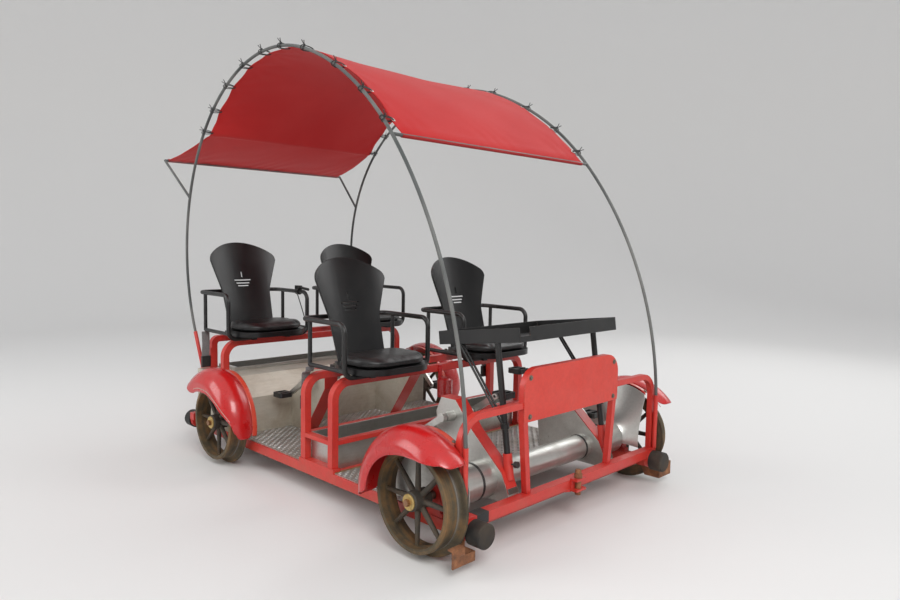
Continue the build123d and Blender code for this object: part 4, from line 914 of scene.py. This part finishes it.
# ---- brake cable: the route's points from the lever to the cover ----
cable = {"route": [(-0.691, -0.126, 0.893), (-0.712, -0.126, 0.893), (-0.724, -0.104, 0.865), (-0.718, -0.09, 0.817),
                   (-0.697, -0.084, 0.763), (-0.667, -0.086, 0.713), (-0.627, -0.094, 0.67), (-0.592, -0.104, 0.63),
                   (-0.58, -0.112, 0.583), (-0.574, -0.118, 0.518), (-0.574, -0.118, 0.44)],
         "length": 0.523, "diameter": 0.006}


def brakeCable():
    data = bpy.data.curves.new("brakeCable", "CURVE")
    data.dimensions = "3D"
    data.bevel_depth = cable["diameter"] / 2
    data.bevel_resolution = 4
    line = data.splines.new("NURBS")
    line.points.add(len(cable["route"]) - 1)
    for point, place in zip(line.points, cable["route"]):
        point.co = (*place, 1)
    line.order_u = 3
    line.use_endpoint_u = True
    line.resolution_u = 10
    data.materials.append(mats["blackPlastic"])
    piece = placed("brakeCable", data)
    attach(piece, "chassis")
    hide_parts("brake_cable")


brakeCable()
print("cable is laid")


# ---- belts: grey webbing from each outer armrest over the hoop, doubled where it is sewn ----
belts = {"y": 0.624, "width": 0.045, "wall": 0.0026,
         "front": [(-0.0995, 0.5895), (-0.0998, 0.574), (-0.103, 0.5672), (-0.111, 0.564), (-0.123, 0.5636),
                   (-0.131, 0.559), (-0.1343, 0.548), (-0.1349, 0.52), (-0.1346, 0.49), (-0.1345, 0.4497)],
         "rear": [(-1.1315, 0.6495), (-1.1322, 0.625), (-1.131, 0.595), (-1.1305, 0.56), (-1.1312, 0.53),
                  (-1.1315, 0.5097)]}


def beltWebs():
    webs, stitches = [], []
    for row in bothRows:
        path = np.array(belts[row])
        run = runLength(path)
        steps = np.linspace(0, run[-1], 60)
        fine = np.stack([np.interp(steps, run, path[:, axis]) for axis in (0, 1)], -1)
        for _ in range(6):
            fine[1:-1] = (fine[:-2] + 2 * fine[1:-1] + fine[2:]) / 4
        for side in sides:
            y = side * belts["y"] + 0.0012 * np.sin(steps * 30)
            points = np.column_stack([fine[:, 0] + middleX, y, fine[:, 1]])
            webs.append(strip(points, belts["width"], belts["wall"]))
            sewn = points[44:] - (belts["wall"] * 1.05, 0, 0)
            webs.append(strip(sewn, belts["width"] * 0.96, belts["wall"]))
            for share in (0.1, 0.25, 0.8):
                middle = sewn[int(share * (len(sewn) - 1))] - (belts["wall"] * 0.6, 0, 0)
                across = np.linspace(-0.45, 0.45, 12)[:, None] * (0, belts["width"], 0)
                stitches.append(tube(middle + across, 0.0007, 6, up=(0, 0, 1)))
    piece = makePiece("beltWebs", webs, "beltWebbing")
    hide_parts("belt_straps")
    makePiece("beltStitches", stitches, "creamSheet")


beltWebs()
print("belts hang")


# ---- small fasteners, trim and tape, with x from the middle of the wheelbase ----
trims = {
    "boardEdge": 0.036, "boardFoot": 0.02,
    "slides": [(-0.106, 0.582), (-1.138, 0.642)],  # x, z of each seat row's slide bolts
    "slideY": 0.375, "slideHalf": 0.105,
    "tape": ((0.9093 + middleX, 0.9547 + middleX), (-0.612, -0.548), (0.1423, 0.1837)),
    "nose": ((0.863, 0.264), (0.91, 0.167)),  # x, z of the case strips' front edge, from top to foot
    "noseY": 0.345, "noseLift": 0.0052,
    "floorX": 0.137, "floorHalf": 0.65,
}


def slab(x, y, z):
    corners = [(x[0], y[0]), (x[1], y[0]), (x[1], y[1]), (x[0], y[1])]
    return gridPart(np.array([[(*corner, height) for corner in corners] for height in z]), caps=True)


def fasteners():
    hexHead = turned([(0, 0.0062), (0.0062, 0.0062), (0.0078, 0.005), (0.0078, 0), (0, 0)], 6)
    washer = turned([(0, 0.0016), (0.0105, 0.0016), (0.0112, 0.0008), (0.0112, 0), (0, 0)], 20)
    low, high = (np.array(corner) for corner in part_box("number_board"))
    heights = (low[2] + trims["boardFoot"], high[2] - trims["boardEdge"])
    onBoard = [(high[0], side * (high[1] - trims["boardEdge"]), z) for side in sides for z in heights]
    slides = [(x + middleX, side * trims["slideY"] + end * trims["slideHalf"], z)
              for x, z in trims["slides"] for side in sides for end in sides]
    heads = [copies(part, np.array(points), normal)
             for points, normal in ((onBoard, (1, 0, 0)), (slides, (0, 0, 1))) for part in (hexHead, washer)]
    makePiece("boltHeads", heads, "axleSteel")
    makePiece("beamTape", [slab(*trims["tape"])], "blackPlastic")
    top, foot = np.array(trims["nose"])
    along = top + (foot - top) * np.linspace(0.6, 0.815, 8)[:, None] + np.array([0.9, 0.435]) * trims["noseLift"]
    noses = []
    for side in sides:
        path = np.column_stack([along[:, 0] + middleX, np.full(8, side * trims["noseY"]), along[:, 1]])
        noses.append(strip(path, 0.0604, 0.0022))
    makePiece("stripNoses", noses, "nakedSteel")
    half = trims["floorHalf"]
    lips = [slab((x - 0.006 + middleX, x + 0.006 + middleX), (-half, half), (0.1472, 0.1496))
            for x in (-trims["floorX"], trims["floorX"])]
    makePiece("floorTrim", lips, "goldTrim")


fasteners()
print("fasteners, tape and trim are on")


# ---- floor, lamps and camera ----
studio = {
    "wall": (0.8, 0.79, 0.77), "flat": 6.5, "bend": 3.5, "wallTop": 9,
    "lamps": [  # place, aim, size, power
        ((5.5, -3.0, 5.0), (0.2, 0, 0.8), 3.0, 250),
        ((-2.5, -5.5, 3.6), (0, 0, 0.7), 3.5, 130),
        ((1.0, 5.0, 4.5), (0, 0, 1.0), 4.0, 120),
    ],
    "camera": (2.9332, -2.4761, 1.1716),
    "yaw": 134.79, "down": 4.61, "roll": 1.02,
    "lens": 28.39,
}


def studioRoom():
    material = newShading("studioFloor", Base_Color=(*studio["wall"], 1), Roughness=0.9).owner
    # Floor that curves up into a wall all round: radius flat + bend sin t, height bend - bend cos t
    t = np.linspace(0, np.pi / 2, 25)
    flat, bend = studio["flat"], studio["bend"]
    profile = [(0.01, 0), *zip(flat + bend * np.sin(t), bend - bend * np.cos(t)), (flat + bend, studio["wallTop"])]
    vertices, faces = turned(profile, 128)
    mesh = bpy.data.meshes.new("studioFloor")
    mesh.from_pydata(vertices.tolist(), [], faces + [list(range(128))])
    shadeSmooth(mesh)
    mesh.materials.append(material)
    floor = placed("studioFloor", mesh)
    world = bpy.data.worlds.new("studio")
    scene.world = world
    air = Shading(world)
    sky = air.tree.nodes["Background"]
    sky.inputs["Color"].default_value = (0.9, 0.93, 1.0, 1)
    sky.inputs["Strength"].default_value = 0.55
    shown = air.put("ShaderNodeBackground", {"Color": (0.86, 0.86, 0.85, 1), "Strength": 1.0})
    rays = air.put("ShaderNodeLightPath")
    seen = air.maths("MAXIMUM", rays.outputs["Is Camera Ray"], rays.outputs["Is Glossy Ray"])
    seen = air.maths("MAXIMUM", seen, rays.outputs["Is Transmission Ray"])
    mixer = air.put("ShaderNodeMixShader", {0: seen, 1: sky.outputs[0], 2: shown.outputs[0]})
    air.tree.links.new(mixer.outputs[0], air.tree.nodes["World Output"].inputs[0])


def lampsAndCamera():
    for index, (place, aim, size, power) in enumerate(studio["lamps"]):
        light = bpy.data.lights.new(f"lamp{index}", "AREA")
        light.energy = power
        light.size = size
        lamp = placed(f"lamp{index}", light)
        lamp.location = place
        lamp.rotation_euler = (Vector(aim) - Vector(place)).to_track_quat("-Z", "Y").to_euler()
    yaw, down, roll = (radians(studio[key]) for key in ("yaw", "down", "roll"))
    ahead = Vector((np.cos(yaw) * np.cos(down), np.sin(yaw) * np.cos(down), -np.sin(down)))
    right = ahead.cross(Vector((0, 0, 1))).normalized()
    above = right.cross(ahead)
    right, above = np.cos(roll) * right + np.sin(roll) * above, np.cos(roll) * above - np.sin(roll) * right
    data = bpy.data.cameras.new("photoCamera")
    data.sensor_width = 36
    data.lens = studio["lens"]
    data.clip_end = 60
    camera = placed("photoCamera", data)
    turn = Matrix((right, above, -ahead)).transposed()
    camera.matrix_world = Matrix.Translation(studio["camera"]) @ turn.to_4x4()
    scene.camera = camera


studioRoom()
lampsAndCamera()
scene.view_settings.view_transform = "Standard"
print("room, lamps and camera are set")
